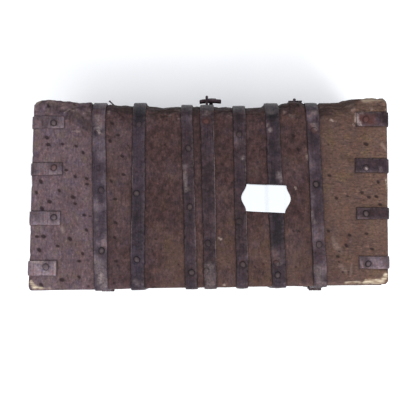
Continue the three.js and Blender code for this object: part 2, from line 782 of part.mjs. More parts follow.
function lockGroup() {
  const group = new THREE.Group();
  group.position.set(0, boltPlace.y, seamHeight);
  group.add(pieceOf("lock_bolt", lockBolt(), brightIron));
  return group;
}

function haspGroup() {
  const group = new THREE.Group();
  group.position.set(haspX, pivotY, pivotHeight);
  group.rotation.x = -restSwing;
  group.add(pieceOf("hasp", haspSolid(), iron));
  return group;
}

function lidGroup() {
  const group = new THREE.Group();
  group.position.z = seamHeight + seamGap;
  const hold = (name, solid, material) => group.add(pieceOf(name, solid, material));
  const fixings = joined([
    haspStaple(stapleWireRadius + drillPlay),
    smallStaple(eyeStapleWireRadius + drillPlay),
    wireEnd(wireRadius + drillPlay),
  ]);
  const wall = boards(lidHeight, frontEdgeRadius, boardThickness, boardThickness);
  hold("lid_board", wall.flat, wood);
  hold("lid_front_rail", wall.front.subtract(fixings), wood);
  hold("lid_back_rail", wall.back, wood);
  hold("lid_right_rail", wall.right, wood);
  hold("lid_left_rail", wall.left, wood);
  const cover = leatherCover(lidHeight, frontEdgeRadius, boardThickness, boardThickness);
  const barrels = hingeStraps.map((index) => barrelRoom(index, -seamGap / 2));
  hold("lid_leather", cover.subtract(joined([fixings, ...barrels])), leather);
  strapFrontShares.forEach((_, index) => {
    const strap = lidStrap(index);
    hold(`lid_strap_${index + 1}`, index === stapleStrap ? strap.subtract(fixings) : strap, iron);
  });
  endStrapShares.forEach((share, index) => {
    hold(`lid_right_end_strap_${index + 1}`, lidEndStrap(share), iron);
    hold(`lid_left_end_strap_${index + 1}`, atOtherEnd(lidEndStrap, share), iron);
  });
  hold("hasp_staple", haspStaple(stapleWireRadius), iron);
  hold("small_staple", smallStaple(eyeStapleWireRadius), iron);
  hold("small_staple_rove", rove().subtract(fixings), iron);
  hold("bent_wire", wireEnd(wireRadius), iron);
  group.add(haspGroup());
  return group;
}

const casket = new THREE.Group();
casket.add(chestGroup(), lidGroup(), lockGroup());

export default casket;
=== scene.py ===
"""The looks of an old wooden casket covered in worn leather and bound with forged iron straps."""

import math

import bpy
import numpy as np
from mathutils import Matrix, Vector


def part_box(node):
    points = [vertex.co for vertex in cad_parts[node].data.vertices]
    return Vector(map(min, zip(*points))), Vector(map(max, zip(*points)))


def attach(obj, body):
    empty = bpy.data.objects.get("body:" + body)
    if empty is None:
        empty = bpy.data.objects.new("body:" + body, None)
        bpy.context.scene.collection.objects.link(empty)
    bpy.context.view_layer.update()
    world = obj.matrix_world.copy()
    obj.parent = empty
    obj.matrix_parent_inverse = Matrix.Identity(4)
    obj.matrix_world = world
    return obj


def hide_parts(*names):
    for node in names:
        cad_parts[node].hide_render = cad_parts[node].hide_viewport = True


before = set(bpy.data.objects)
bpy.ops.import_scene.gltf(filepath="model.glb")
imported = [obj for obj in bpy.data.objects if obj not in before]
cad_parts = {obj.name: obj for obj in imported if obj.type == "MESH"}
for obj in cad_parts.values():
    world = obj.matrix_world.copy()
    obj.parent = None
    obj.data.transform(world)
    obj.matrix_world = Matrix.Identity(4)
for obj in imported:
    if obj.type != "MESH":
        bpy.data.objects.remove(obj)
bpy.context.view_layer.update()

MM = 0.001

# The photograph's frame, in pixels, and the camera that took it
PHOTO_SIZE = 410
PHOTO_MIDDLE = PHOTO_SIZE / 2
FOCAL_PIXELS = 777.0
CAMERA_DISTANCE = 420 * MM
CAMERA_TILT = 0.0866
CAMERA_SIDE = -0.0219
CAMERA_ROLL = -0.0054
AIM_X = 1.98 * MM
AIM_Y = 6.93 * MM
SENSOR_WIDTH = 36
CLIP_START = 10 * MM
CLIP_END = 20000 * MM


def box_of(node):
    low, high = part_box(node)
    return np.array(low), np.array(high)


# The case, read from the frame
CHEST_LOW, CHEST_HIGH = box_of("chest_leather")
LID_LOW, LID_HIGH = box_of("lid_leather")
HALF_LENGTH = LID_HIGH[0]
HALF_DEPTH = LID_HIGH[1]
LID_TOP = LID_HIGH[2]

# Sizes of leather, boards and iron
END_ROUND = 2.3 * MM
BACK_ROUND = 2.4 * MM
LEATHER_INSET = 1.3 * MM
BOARD_THICKNESS = 8 * MM
FRONT_BOARD_THICKNESS = 9 * MM
STRAP_GAP = 0.1 * MM
STRAP_THICKNESS = 1.1 * MM
RIVET_RADIUS = 1.8 * MM
RIVET_HEIGHT = 0.55 * MM
END_STRAP_SINK = 0.55 * MM
TOP_OF_STRAPS = LID_TOP + STRAP_GAP + STRAP_THICKNESS

# The height of the walls' rivets, and of the faintest on the lid, as shares of a full one
FLAT_RIVET_SHARE = 0.6
FAINT_RIVET_SHARE = 0.4


def camera_axes():
    """The camera's place and its right, up and forward directions."""
    back = np.array([math.sin(CAMERA_SIDE), math.sin(CAMERA_TILT), 0.0])
    back[2] = math.sqrt(1 - back[0] ** 2 - back[1] ** 2)
    place = np.array([AIM_X, AIM_Y, LID_TOP]) + back * CAMERA_DISTANCE
    forward = -back
    right = np.cross(forward, [0.0, -1.0, 0.0])
    right /= np.linalg.norm(right)
    above = np.cross(right, forward)
    turn_cos, turn_sin = math.cos(CAMERA_ROLL), math.sin(CAMERA_ROLL)
    rolled_right = turn_cos * right + turn_sin * above
    rolled_above = turn_cos * above - turn_sin * right
    return place, rolled_right, rolled_above, forward


def make_camera():
    data = bpy.data.cameras.new("camera")
    data.sensor_width = SENSOR_WIDTH
    data.lens = FOCAL_PIXELS * SENSOR_WIDTH / PHOTO_SIZE
    data.clip_start = CLIP_START
    data.clip_end = CLIP_END
    camera = bpy.data.objects.new("camera", data)
    bpy.context.collection.objects.link(camera)
    place, right, above, forward = camera_axes()
    matrix = np.eye(4)
    matrix[:3, 0] = right
    matrix[:3, 1] = above
    matrix[:3, 2] = -forward
    matrix[:3, 3] = place
    camera.matrix_world = Matrix(matrix.tolist())
    bpy.context.scene.camera = camera


def on_level(u, v, level):
    """The point at the given height that the photograph shows at a pixel."""
    place, right, above, forward = camera_axes()
    across = (u - PHOTO_MIDDLE) / FOCAL_PIXELS
    down = (v - PHOTO_MIDDLE) / FOCAL_PIXELS
    ray = forward + across * right - down * above
    return place + ray * (level - place[2]) / ray[2]


make_camera()


# Noise that is the same on every run

CELL_STEPS = (127.1, 311.7, 74.7)
SEED_STEP = 19.19
SCATTER = 43758.5453


def lattice(cells, seed):
    """A repeatable value from 0 to 1 for each whole-numbered cell."""
    x_step, y_step, z_step = CELL_STEPS
    mixed = cells[..., 0] * x_step + cells[..., 1] * y_step + cells[..., 2] * z_step + seed * SEED_STEP
    whole = np.sin(mixed) * SCATTER
    return whole - np.floor(whole)


def noise(points, size, seed):
    """Smooth noise from -1 to 1, with features of about the given size."""
    scaled = np.asarray(points) / size
    base = np.floor(scaled)
    part = scaled - base
    ease = part * part * (3 - 2 * part)
    total = 0
    for corner in np.ndindex(2, 2, 2):
        weight = 1
        for axis in range(3):
            weight = weight * (ease[..., axis] if corner[axis] else 1 - ease[..., axis])
        total = total + weight * lattice(base + np.array(corner), seed)
    return total * 2 - 1


def rough(points, size, layers, seed):
    """Noise with finer and weaker layers added."""
    total = 0
    for layer in range(layers):
        total = total + noise(points, size / 2**layer, seed + layer * 7) / 2**layer
    return total


def ramp(values, low, high):
    """0 below low, 1 above high and smooth between them."""
    share = np.clip((values - low) / (high - low), 0, 1)
    return share * share * (3 - 2 * share)


def stepped(values, steps):
    """The sum of smooth steps, each given by its start, its end and its height."""
    return sum(height * ramp(values, start, end) for start, end, height in steps)


def near(away, reach):
    """1 at no distance, and nearly 0 at twice the reach."""
    return np.exp(-((away / reach) ** 2))


# Meshes

def make_mesh(name, points, faces, body, material, values=None):
    data = bpy.data.meshes.new(name)
    data.from_pydata([tuple(p) for p in points], [], [tuple(f) for f in faces])
    data.validate()
    piece = bpy.data.objects.new(name, data)
    bpy.context.collection.objects.link(piece)
    for key, numbers in (values or {}).items():
        layer = data.attributes.new(key, "FLOAT", "POINT")
        layer.data.foreach_set("value", np.asarray(numbers, dtype=np.float32))
    data.polygons.foreach_set("use_smooth", [True] * len(data.polygons))
    data.materials.append(material)
    data.update()
    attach(piece, body)
    return piece


def merged(points, faces, step):
    """Joins points that share a place."""
    keys = np.round(np.asarray(points) / step).astype(np.int64)
    _, first, index = np.unique(keys, axis=0, return_index=True, return_inverse=True)
    renumbered = index.reshape(-1)[np.asarray(faces)]
    return np.asarray(points)[first], [tuple(int(i) for i in face) for face in renumbered]


def spaced(low, high, step):
    count = max(2, int(round((high - low) / step)) + 1)
    return np.linspace(low, high, count)


def loop_faces(rows, columns, closed=False):
    """Quads between neighbouring rows of points that were listed row by row."""
    faces = []
    last = columns if closed else columns - 1
    for row in range(rows - 1):
        for column in range(last):
            beside = (column + 1) % columns
            low, high = row * columns, (row + 1) * columns
            faces.append((low + column, low + beside, high + beside, high + column))
    return faces


def shifted(faces, first):
    """The faces, for points that are listed from the given place on."""
    return [tuple(first + index for index in face) for face in faces]


def flipped(faces):
    """The faces with their other side outwards."""
    return [tuple(reversed(face)) for face in faces]


class Shape:
    """Points, faces and surface values gathered for one piece."""

    def __init__(self):
        self.points = np.zeros((0, 3))
        self.faces = []
        self.values = {}

    def add(self, points, faces, **values):
        first = len(self.points)
        for key in set(self.values) | set(values):
            old = self.values.get(key, np.zeros(first))
            new = np.broadcast_to(values.get(key, 0.0), (len(points),))
            self.values[key] = np.concatenate([old, new])
        self.points = np.vstack([self.points, points])
        self.faces += shifted(faces, first)

    def make(self, name, body, material):
        return make_mesh(name, self.points, self.faces, body, material, self.values)


# The form of the case

# The upper edge of the photographed lid from corner to corner, in pixels
UPPER_EDGE = [
    (35, 101.8), (39, 100.6), (46, 99.9), (59, 100.4), (69, 101.6), (77, 103.1), (90, 102.6),
    (92, 105.2), (106, 105.2), (109, 104.6), (119, 105.8), (131, 106.1), (133, 105.2), (145.5, 105.2),
    (148, 106.6), (163, 108.3), (174, 107.2), (181, 107.5), (193, 107.5), (196, 106.6), (199, 107.2),
    (214, 107.2), (218, 107.7), (231, 107.9), (233, 108.9), (246, 108.9), (262, 107.9), (264, 105.8),
    (280, 105.8), (282, 104.2), (288, 102.8), (290, 101.8), (300, 101.8), (304, 103.2), (306, 105.5),
    (319, 105.5), (321, 103.2), (340, 102.4), (344, 101.2), (353, 99.2), (364, 98.2), (382, 98.4), (386, 100),
]

# A rounding of radius r hides this share of r from the camera
ROUNDING_LOSS_SHARE = 0.2
SHARPEST_FRONT = 1.6 * MM
ROUNDEST_FRONT = 10.5 * MM
FURTHEST_BULGE = 0.7 * MM
LEAN_START = LID_LOW[2]
LEAN_END = 84.5 * MM
LEAN_SHARE = 0.6

# How far the lid's corners are out of square, and how high over its rim that sets in
END_SKEW = 0.9 * MM
BACK_SKEW = 1.1 * MM
SKEW_SHARE = 0.68
SKEW_START = 4 * MM
SKEW_END = 16 * MM

# How far the leather swells out along the lid's upper back edge
BACK_SWELL = 0.5 * MM


def edge_loss():
    """How far the worn front edge falls short of a sharp one, against the place along X."""
    corners = np.array([on_level(u, v, LID_TOP) for u, v in UPPER_EDGE])
    order = np.argsort(corners[:, 0])
    return corners[order, 0], np.maximum(corners[order, 1] + HALF_DEPTH, -FURTHEST_BULGE)


EDGE_PLACES, EDGE_LOSSES = edge_loss()


def front_round(x):
    loss = np.interp(x, EDGE_PLACES, EDGE_LOSSES)
    return np.clip(loss / ROUNDING_LOSS_SHARE, SHARPEST_FRONT, ROUNDEST_FRONT)


def front_lean(points):
    """How far the worn upper front of the lid leans back at each point."""
    loss = np.interp(points[:, 0], EDGE_PLACES, EDGE_LOSSES)
    lean = loss - ROUNDING_LOSS_SHARE * front_round(points[:, 0])
    height = ramp(points[:, 2], LEAN_START, LEAN_END)
    forward = ramp(-points[:, 1], HALF_DEPTH * LEAN_SHARE, HALF_DEPTH)
    return lean * height * forward


def leaned(points):
    """Points of the lid moved with its worn front and with its corners."""
    moved = np.array(points, dtype=float)
    moved[:, 1] += front_lean(moved)
    return skewed(moved)


def skewed(points):
    """Points of the lid moved with its corners, which are out of square."""
    moved = np.array(points, dtype=float)
    height = ramp(points[:, 2], LID_LOW[2] + SKEW_START, LID_LOW[2] + SKEW_END)
    near_end = ramp(np.abs(points[:, 0]), SKEW_SHARE * HALF_LENGTH, HALF_LENGTH)
    near_back = ramp(points[:, 1], SKEW_SHARE * HALF_DEPTH, HALF_DEPTH)
    moved[:, 0] += END_SKEW * points[:, 1] / HALF_DEPTH * near_end * height
    moved[:, 1] += BACK_SKEW * points[:, 0] / HALF_LENGTH * near_back * height
    return moved


def corner_distance(a, b, radius):
    """Distance outside a rounded corner, from the distances past its two faces."""
    a, b = a + radius, b + radius
    outside = np.hypot(np.maximum(a, 0), np.maximum(b, 0))
    return outside + np.minimum(np.maximum(a, b), 0) - radius


def lid_distance(points):
    """Signed distance to the lid's leather, before it leans."""
    x, y, z = points[:, 0], points[:, 1], points[:, 2]
    over = z - LID_TOP
    front = corner_distance(-y - HALF_DEPTH, over, front_round(x))
    back = corner_distance(y - HALF_DEPTH, over, BACK_ROUND)
    side = np.where(y < 0, front, back)
    return corner_distance(np.abs(x) - HALF_LENGTH, side, END_ROUND)


def chest_distance(points):
    """Signed distance to the chest's leather."""
    x, y, z = points[:, 0], points[:, 1], points[:, 2]
    side = corner_distance(np.abs(y) - HALF_DEPTH, CHEST_LOW[2] - z, BACK_ROUND)
    return corner_distance(np.abs(x) - HALF_LENGTH, side, END_ROUND)


SLOPE_STEP = 0.02 * MM
SLOPE_FLOOR = 1e-12
ONTO_ROUNDS = 4
MERGE_STEP = 0.01 * MM


def slope(distance, points):
    """The direction in which the distance grows, at each point."""
    parts = []
    for axis in range(3):
        offset = np.zeros(3)
        offset[axis] = SLOPE_STEP
        parts.append(distance(points + offset) - distance(points - offset))
    direction = np.stack(parts, axis=1)
    return direction / np.maximum(np.linalg.norm(direction, axis=1, keepdims=True), SLOPE_FLOOR)


def onto(distance, points):
    """The nearest points on the surface."""
    for _ in range(ONTO_ROUNDS):
        points = points - slope(distance, points) * distance(points)[:, None]
    return points


def open_box(xs, ys, zs, flat_level):
    """A grid over four walls and a flat face of a box that is open at the other end."""
    points, faces = [], []

    def sheet(first_places, second_places, place):
        faces.extend(shifted(loop_faces(len(first_places), len(second_places)), len(points)))
        points.extend(place(first, second) for first in first_places for second in second_places)

    sheet(xs, ys, lambda x, y: (x, y, flat_level))
    sheet(xs, zs, lambda x, z: (x, ys[0], z))
    sheet(zs, xs, lambda z, x: (x, ys[-1], z))
    sheet(zs, ys, lambda z, y: (xs[0], y, z))
    sheet(ys, zs, lambda y, z: (xs[-1], y, z))
    return merged(points, faces, MERGE_STEP)


# How a rim's leather turns in: the share of the way to the inside, and the rise
RIM_PROFILE = [
    (0, 0.35 * MM), (0.03, 0.1 * MM), (0.08, 0), (0.5, 0), (0.96, 0), (1, 0.2 * MM), (1, 1.2 * MM),
]
RIM_STEP = 2 * MM
RIM_MARK = 0.15


def rim_rings(level, inward, fronts, backs, ends):
    """Leather turned in over a rim, as rings from the outer edge to inside the boards."""
    xs = spaced(-HALF_LENGTH, HALF_LENGTH, RIM_STEP)
    ys = spaced(-HALF_DEPTH, HALF_DEPTH, RIM_STEP)
    outer = [(x, ys[0]) for x in xs[:-1]] + [(xs[-1], y) for y in ys[:-1]]
    outer += [(x, ys[-1]) for x in xs[:0:-1]] + [(xs[0], y) for y in ys[:0:-1]]
    outer = np.array(outer)
    inner = np.column_stack([
        np.clip(outer[:, 0], -HALF_LENGTH + ends, HALF_LENGTH - ends),
        np.clip(outer[:, 1], -HALF_DEPTH + fronts, HALF_DEPTH - backs),
    ])
    rows = []
    for share, rise in RIM_PROFILE:
        ring = outer + (inner - outer) * share
        rows.append(np.column_stack([ring, np.full(len(ring), level + inward * rise)]))
    return np.vstack(rows), loop_faces(len(rows), len(outer), closed=True)


# Marks in the leather of the lid's top, in pixels of the photograph
LARGE_MARKS = [
    (46, 137.5), (47.5, 144.5), (40.5, 181.5), (73, 197), (49.5, 201.5), (42, 208.5), (44, 236.3),
    (70, 238.8), (40, 250), (62.5, 278.5), (42.5, 283.5), (365.5, 144),
]
MIDDLE_MARKS = [
    (373, 249), (47, 107.5), (62, 144), (76, 146), (83, 152.5), (66, 170), (75, 176.5),
    (86.5, 178.5), (87, 184), (59, 190.5), (75, 203.5), (84, 215), (86.5, 230), (37.5, 236.5),
    (58, 246), (82.5, 253.5), (79, 261),
    (79, 276), (112, 123), (118, 135), (110, 141), (122, 156), (123.5, 174.5), (111, 181), (115, 199),
    (115.5, 222.5), (114.5, 237.5), (116, 261), (293.5, 135.5), (298, 149), (329.5, 175.5), (378, 182),
    (362, 192.5), (376.5, 196.5), (336.5, 198), (369, 197), (328.5, 231), (350, 235), (367, 233.5),
    (346.5, 245.5), (338, 256.5), (380.5, 204.5), (36.5, 192.5),
]
FAINT_MARKS = [
    (90, 216), (88.5, 284.5), (117.5, 265), (114, 282), (165, 144.5), (155.5, 239), (167, 228),
    (178.5, 264.5), (222, 164), (218, 173), (228, 176), (254, 150), (263.5, 264), (255, 267), (287, 137),
    (288, 165), (294.5, 172), (298, 211), (299, 231), (293.5, 231), (296, 267), (328.5, 144.5),
    (347.5, 196), (339, 262), (343, 273), (349, 273), (166.5, 117.5), (82.5, 117.5), (339.5, 251.5),
    (122.5, 115.5),
]

# The size and strength of each kind of mark, the marks' own size, and how they are scattered
MARK_KINDS = [(LARGE_MARKS, 1.15, 1.0), (MIDDLE_MARKS, 0.95, 0.9), (FAINT_MARKS, 0.8, 0.65)]
MARK_LENGTH = 1.4 * MM
MARK_WIDTH = 0.85 * MM
MARK_DEPTH = 0.4 * MM
MARK_REACH = 4 * MM
MARK_TILT = -0.6
MARK_TILT_SPREAD = 0.4
MARK_SIZE_SPREAD = 0.28
MARK_STRENGTH = 0.85
MARK_STRENGTH_SPREAD = 0.15
MARK_SPACING = 9.5 * MM
MARK_SPREAD_SHARES = (0.05, 0.95)
FACING_SHARE = 0.7
TOP_SEED = 3
LONG_WALL_SEED = 11
END_WALL_SEED = 21


def dent(across, along, tilt, length, width):
    """1 in the middle of an oval mark and 0 outside it."""
    turned_a = across * np.cos(tilt) + along * np.sin(tilt)
    turned_b = along * np.cos(tilt) - across * np.sin(tilt)
    return np.exp(-((turned_a / length) ** 2 + (turned_b / width) ** 2))


def scattered_marks(low, high, seed):
    """Places for marks over a rectangle, on an uneven grid."""
    random = np.random.default_rng(seed)
    places = []
    for across in np.arange(low[0], high[0], MARK_SPACING):
        for along in np.arange(low[1], high[1], MARK_SPACING):
            shares = random.uniform(*MARK_SPREAD_SHARES, 2)
            places.append(np.array([across, along]) + shares * MARK_SPACING)
    return places


def marks_over(points, normals, top_marks):
    """How strongly each point of the leather is marked."""
    total = np.zeros(len(points))

    def press(face, across, along, place, number, given=None):
        tilt = MARK_TILT + MARK_TILT_SPREAD * math.sin(number * 2.3)
        uneven = (1 + MARK_SIZE_SPREAD * math.sin(number * 5.1),
                  MARK_STRENGTH + MARK_STRENGTH_SPREAD * math.sin(number * 3.7))
        size, strength = given or uneven
        across, along = across - place[0], along - place[1]
        close = np.nonzero(face & (np.hypot(across, along) < MARK_REACH))[0]
        deep = dent(across[close], along[close], tilt, MARK_LENGTH * size, MARK_WIDTH * size)
        total[close] = np.maximum(total[close], strength * deep)

    x, y, z = points[:, 0], points[:, 1], points[:, 2]
    half = np.array([HALF_LENGTH, HALF_DEPTH])
    flat = np.abs(normals[:, 2]) > FACING_SHARE
    places = top_marks or [(place, None) for place in scattered_marks(-half, half, TOP_SEED)]
    for number, (place, given) in enumerate(places):
        press(flat, x, y, place, number, given)
    walls = [(1, HALF_LENGTH, x, LONG_WALL_SEED), (0, HALF_DEPTH, y, END_WALL_SEED)]
    for side, way in enumerate((-1, 1)):
        for axis, reach, along, seed in walls:
            wall = normals[:, axis] * way > FACING_SHARE
            spots = scattered_marks((-reach, z.min()), (reach, z.max()), seed + side)
            for number, place in enumerate(spots):
                press(wall, along, z, place, number)
    return total


# Leather

# How high it swells, how high its grain is and how deep both are set in, and the grain's stretching
SWELL = 0.16 * MM
GRAIN = 0.05 * MM
LEATHER_SINK = 0.1 * MM
GRAIN_STRETCH = (0.35, 1.0, 1.0)

# Unevenness: the size of its largest features, how many layers it has, and its seed
SWELL_NOISE = (17 * MM, 3, 5)
FADING_NOISE = (11 * MM, 3, 31)
WARMTH_NOISE = (9 * MM, 3, 33)
FRONT_DIRT_NOISE = (4.5 * MM, 3, 35)
STRAP_DIRT_AND_SHADOW_NOISE = (7 * MM, 3, 37)
BULGE_NOISE = (4.2 * MM, 3, 41)
CREASE_NOISE = (6 * MM, 3, 51)
RIDGE_NOISE = (2.6 * MM, 3, 52)

# Unevenness in a single layer: its size and its seed
GRAIN_NOISE = (2.2 * MM, 9)


def leather_relief(points, normals, marked):
    """The swell, grain and dents of old leather, along the normals."""
    swell = SWELL * rough(points, *SWELL_NOISE) + GRAIN * noise(points * GRAIN_STRETCH, *GRAIN_NOISE)
    return points + normals * (swell - LEATHER_SINK - marked * MARK_DEPTH)[:, None]


# Strokes, each from one pixel to another with its reach in millimetres and its strength
BARE_STROKES = [
    (34, 104, 40, 100.5, 0.8, 0.4),
    (31, 282, 34, 286.5, 0.9, 0.8), (34, 286.5, 42, 289, 1.1, 1.0), (36, 288.5, 50, 289.5, 0.9, 0.7),
    (346, 283.8, 366, 283.3, 0.9, 0.8), (366, 283.3, 382, 282, 1.6, 1.0), (382, 282, 386.5, 276, 1.5, 0.9),
    (364, 99.5, 384, 99, 1.4, 0.35), (387, 180, 387.5, 188, 0.8, 0.6), (28.5, 255, 28.5, 262, 0.6, 0.4),
]
SCUFF_STROKES = [
    (65, 112, 69, 109.5, 0.3, 0.6), (69, 109.5, 74, 111, 0.3, 0.6), (72, 131.5, 80, 131.5, 0.3, 0.5),
    (331, 120, 333, 121, 0.5, 1.0), (307, 156, 308, 159, 0.8, 0.4), (295, 187, 296, 189, 0.5, 0.6),
    (219, 238, 221, 239, 0.5, 0.8), (224, 285, 226, 286, 0.7, 0.8), (62, 228, 63, 232, 0.9, 0.3),
    (333, 238, 335, 246, 1.1, 0.16), (336, 245, 340, 251, 1.4, 0.2), (352, 264, 350, 276, 0.6, 0.16),
    (341, 266, 346, 272, 1.0, 0.16), (117, 113, 119, 114, 0.5, 0.6), (382, 144, 386, 150, 0.9, 0.3),
]
CRUST_STROKES = [
    (357, 114, 356, 121, 1.0, 1.0), (356.5, 121.5, 360.5, 124.5, 0.9, 1.0), (357, 113.5, 362, 112, 0.7, 0.7),
    (362, 112, 370, 112.5, 0.5, 0.5), (363, 124.5, 371, 124, 0.6, 0.7), (353, 124, 354, 126, 0.4, 0.5),
]
RUST_STROKES = [
    (361.5, 117, 371, 120, 2.8, 0.65), (205, 119, 207, 120, 1.8, 0.6), (53, 167, 54, 168, 1.6, 0.5),
    (273, 253, 276, 260, 1.6, 0.4), (312, 125, 316, 131, 1.8, 0.4), (97, 110, 100, 122, 2.2, 0.35),
]
# Dark strokes: dirt and stains, and painted shade in the thin dark line along the lid's front edge
GRIME_AND_SHADE_STROKES = [
    (70, 115, 88, 124, 3.2, 0.65), (80, 107, 90, 109, 1.5, 0.5), (322, 113, 350, 106, 2.8, 0.7),
    (356, 105, 384, 108, 1.2, 0.35), (288, 106, 304, 108, 1.2, 0.4), (112, 108, 130, 112, 1.6, 0.5),
    (150, 109, 176, 111, 1.2, 0.5), (216, 110, 231, 112, 1.2, 0.5), (162, 117, 172, 115, 0.6, 0.8),
    (343, 158, 352, 160, 2.0, 0.4), (370, 206, 384, 205, 0.6, 0.5), (338, 252, 348, 246, 1.4, 0.3),
]
STROKE_NOISE = (2.2 * MM, 4)

# How a stroke ends, in shares of its reach from its line: where, over what, and never past what
STROKE_END_SHARE = 1.5
STROKE_BLEND_SHARE = 1.1
STROKE_LIMIT_SHARE = 3


def stroked(points, strokes, level, broken=0.4, seed=13):
    """How strongly each point is touched by strokes that lie at the given height."""
    total = np.zeros(len(points))
    uneven = broken * rough(points, *STROKE_NOISE, seed)
    for u0, v0, u1, v1, reach, strength in strokes:
        start, end = on_level(u0, v0, level), on_level(u1, v1, level)
        along = end - start
        share = np.clip((points - start) @ along / (along @ along), 0, 1)
        away = np.linalg.norm(points - start - share[:, None] * along, axis=1) / (reach * MM)
        touched = ramp(STROKE_END_SHARE - away + uneven, 0.0, STROKE_BLEND_SHARE)
        total = np.maximum(total, strength * touched * (away < STROKE_LIMIT_SHARE))
    return total


# How the leather pales towards +X and browns towards -X and the back: from where, to where, how much
END_FADING = [(50 * MM, 66 * MM, 0.85), (78 * MM, 88 * MM, 0.3)]
MIDDLE_FADING = [(28 * MM, 52 * MM, 0.3)]
END_WARMTH = [(46 * MM, 74 * MM, 0.8), (80 * MM, 93 * MM, 0.3)]
BACK_WARMTH = [(0, 40 * MM, 0.4)]
BACK_WARMTH_REACH = (34 * MM, 22 * MM)

# Where dirt starts and is full towards the front, and where the painted shade starts and is full down the
# front edge and by how worn that edge is
FRONT_DIRT = (37 * MM, 47 * MM)
EDGE_SHADE = (1.2 * MM, 3.2 * MM)
WORN_EDGE_SHADE = (1.0 * MM, 2.5 * MM)
# How far the dirt and painted shadow beside the straps and the tabs reach
STRAP_DIRT_AND_SHADOW_REACH = 0.5 * MM
TAB_DIRT_AND_SHADOW_REACH = 0.45 * MM


def fading(points):
    """The paler leather towards the +X end of the lid."""
    pale = np.maximum(stepped(points[:, 0], END_FADING), stepped(points[:, 0], MIDDLE_FADING))
    return np.clip(pale + 0.2 * rough(points, *FADING_NOISE), 0, 1.25)


def warmth(points):
    """The browner leather towards the -X end of the lid."""
    middle = stepped(points[:, 1], BACK_WARMTH) * ramp(points[:, 0], *BACK_WARMTH_REACH)
    warm = np.maximum(stepped(-points[:, 0], END_WARMTH), middle)
    return np.clip(warm + 0.2 * rough(points, *WARMTH_NOISE), 0, 1.1)


def grime(points):
    """Dark dirt towards the worn front, painted shade down the front edge, and dirt with painted shadow along
    the straps.
    """
    front = ramp(-points[:, 1], *FRONT_DIRT) * ramp(rough(points, *FRONT_DIRT_NOISE), -0.1, 0.8)
    # Painted shade on the rolled front edge, stronger where the edge is more worn
    roll = 0.6 * (points[:, 1] < 0) * ramp(LID_TOP - points[:, 2], *EDGE_SHADE)
    roll = roll * ramp(np.interp(points[:, 0], EDGE_PLACES, EDGE_LOSSES), *WORN_EDGE_SHADE)
    beside = beside_straps(points) * ramp(rough(points, *STRAP_DIRT_AND_SHADOW_NOISE), -1.0, 0.4)
    return np.clip(np.maximum.reduce([0.7 * front, roll, 0.9 * beside]), 0, 1)


def along_case(y):
    """A depth kept to the flat of the case."""
    return np.clip(y, -HALF_DEPTH, HALF_DEPTH)


def tab_line(tab):
    """Where a tab's inner end is in X, and its middle and width in depth."""
    upper, lower, inner, _ = tab
    first, last = (on_level(inner, v, TOP_OF_STRAPS) for v in (upper, lower))
    return abs(first[0]), (first[1] + last[1]) / 2, abs(first[1] - last[1])


def beside_straps(points):
    """Dirt and painted shadow: 1 at the edge of a strap or tab, fading into the leather next to it."""
    y = along_case(points[:, 1])
    total = np.zeros(len(points))
    for index in range(len(STRAP_EDGES)):
        middle, width = strap_line(index)
        away = np.maximum(np.abs(points[:, 0] - middle(y)) - width(y) / 2, 0)
        total = np.maximum(total, 0.75 * near(away, STRAP_DIRT_AND_SHADOW_REACH))
    for side, tabs in TABS.items():
        for tab in tabs:
            inner_end, tab_middle, tab_width = tab_line(tab)
            past = np.maximum(inner_end - side * points[:, 0], 0)
            aside = np.maximum(np.abs(points[:, 1] - tab_middle) - tab_width / 2, 0)
            total = np.maximum(total, near(np.hypot(past, aside), TAB_DIRT_AND_SHADOW_REACH))
    return total


# The spacing of the leather's points, and how far from the rim its walls begin and end
LID_STEP = 0.6 * MM
LID_WALL_STEP = 0.8 * MM
CHEST_STEP = 1.3 * MM
RIM_ROLL = 0.35 * MM
RIM_LIP = 0.3 * MM

# The worn leather along the lid's front edge, and how deep bare wood lies
WORN_FRONT = (36 * MM, 46 * MM)
WEAR_FOOT = 74 * MM
WEAR_DROP = 4 * MM
CREASE_STRETCH = (0.55, 1.5, 1.0)
CREASE_DEPTH = 0.45 * MM
FRONT_SWELL = 0.3 * MM
BARE_DEPTH = 0.5 * MM


def front_wear(points, placed):
    """The creases, the rubbed ridges and the swell of the leather along the lid's front edge."""
    worn = ramp(-placed[:, 1], *WORN_FRONT)
    crease = worn * ramp(np.abs(rough(points * CREASE_STRETCH, *CREASE_NOISE)), 0.2, 0.0)
    worn = worn * ramp(points[:, 2], WEAR_FOOT, LID_TOP - WEAR_DROP)
    ridge = 0.35 * worn * ramp(rough(points, *RIDGE_NOISE), 0.45, 1.1) * (1 - crease)
    swell = FRONT_SWELL * rough(points, *BULGE_NOISE) * worn
    return crease, ridge, swell


def worn_lid(points, normals, marked, raised, bare):
    """The lid's leather in its worn form, raised by a given height and sunk where it is bare."""
    moved = leaned(leather_relief(points, normals, marked) + normals * raised[:, None])
    moved -= normals * (BARE_DEPTH * bare)[:, None]
    back = ramp(moved[:, 1], HALF_DEPTH - BACK_ROUND, HALF_DEPTH)
    upper_back = back * ramp(moved[:, 2], LEAN_START, LEAN_END)
    moved[:, 1] += BACK_SWELL * upper_back
    moved[:, 2] = np.maximum(moved[:, 2], LID_LOW[2] + RIM_LIP)
    return moved


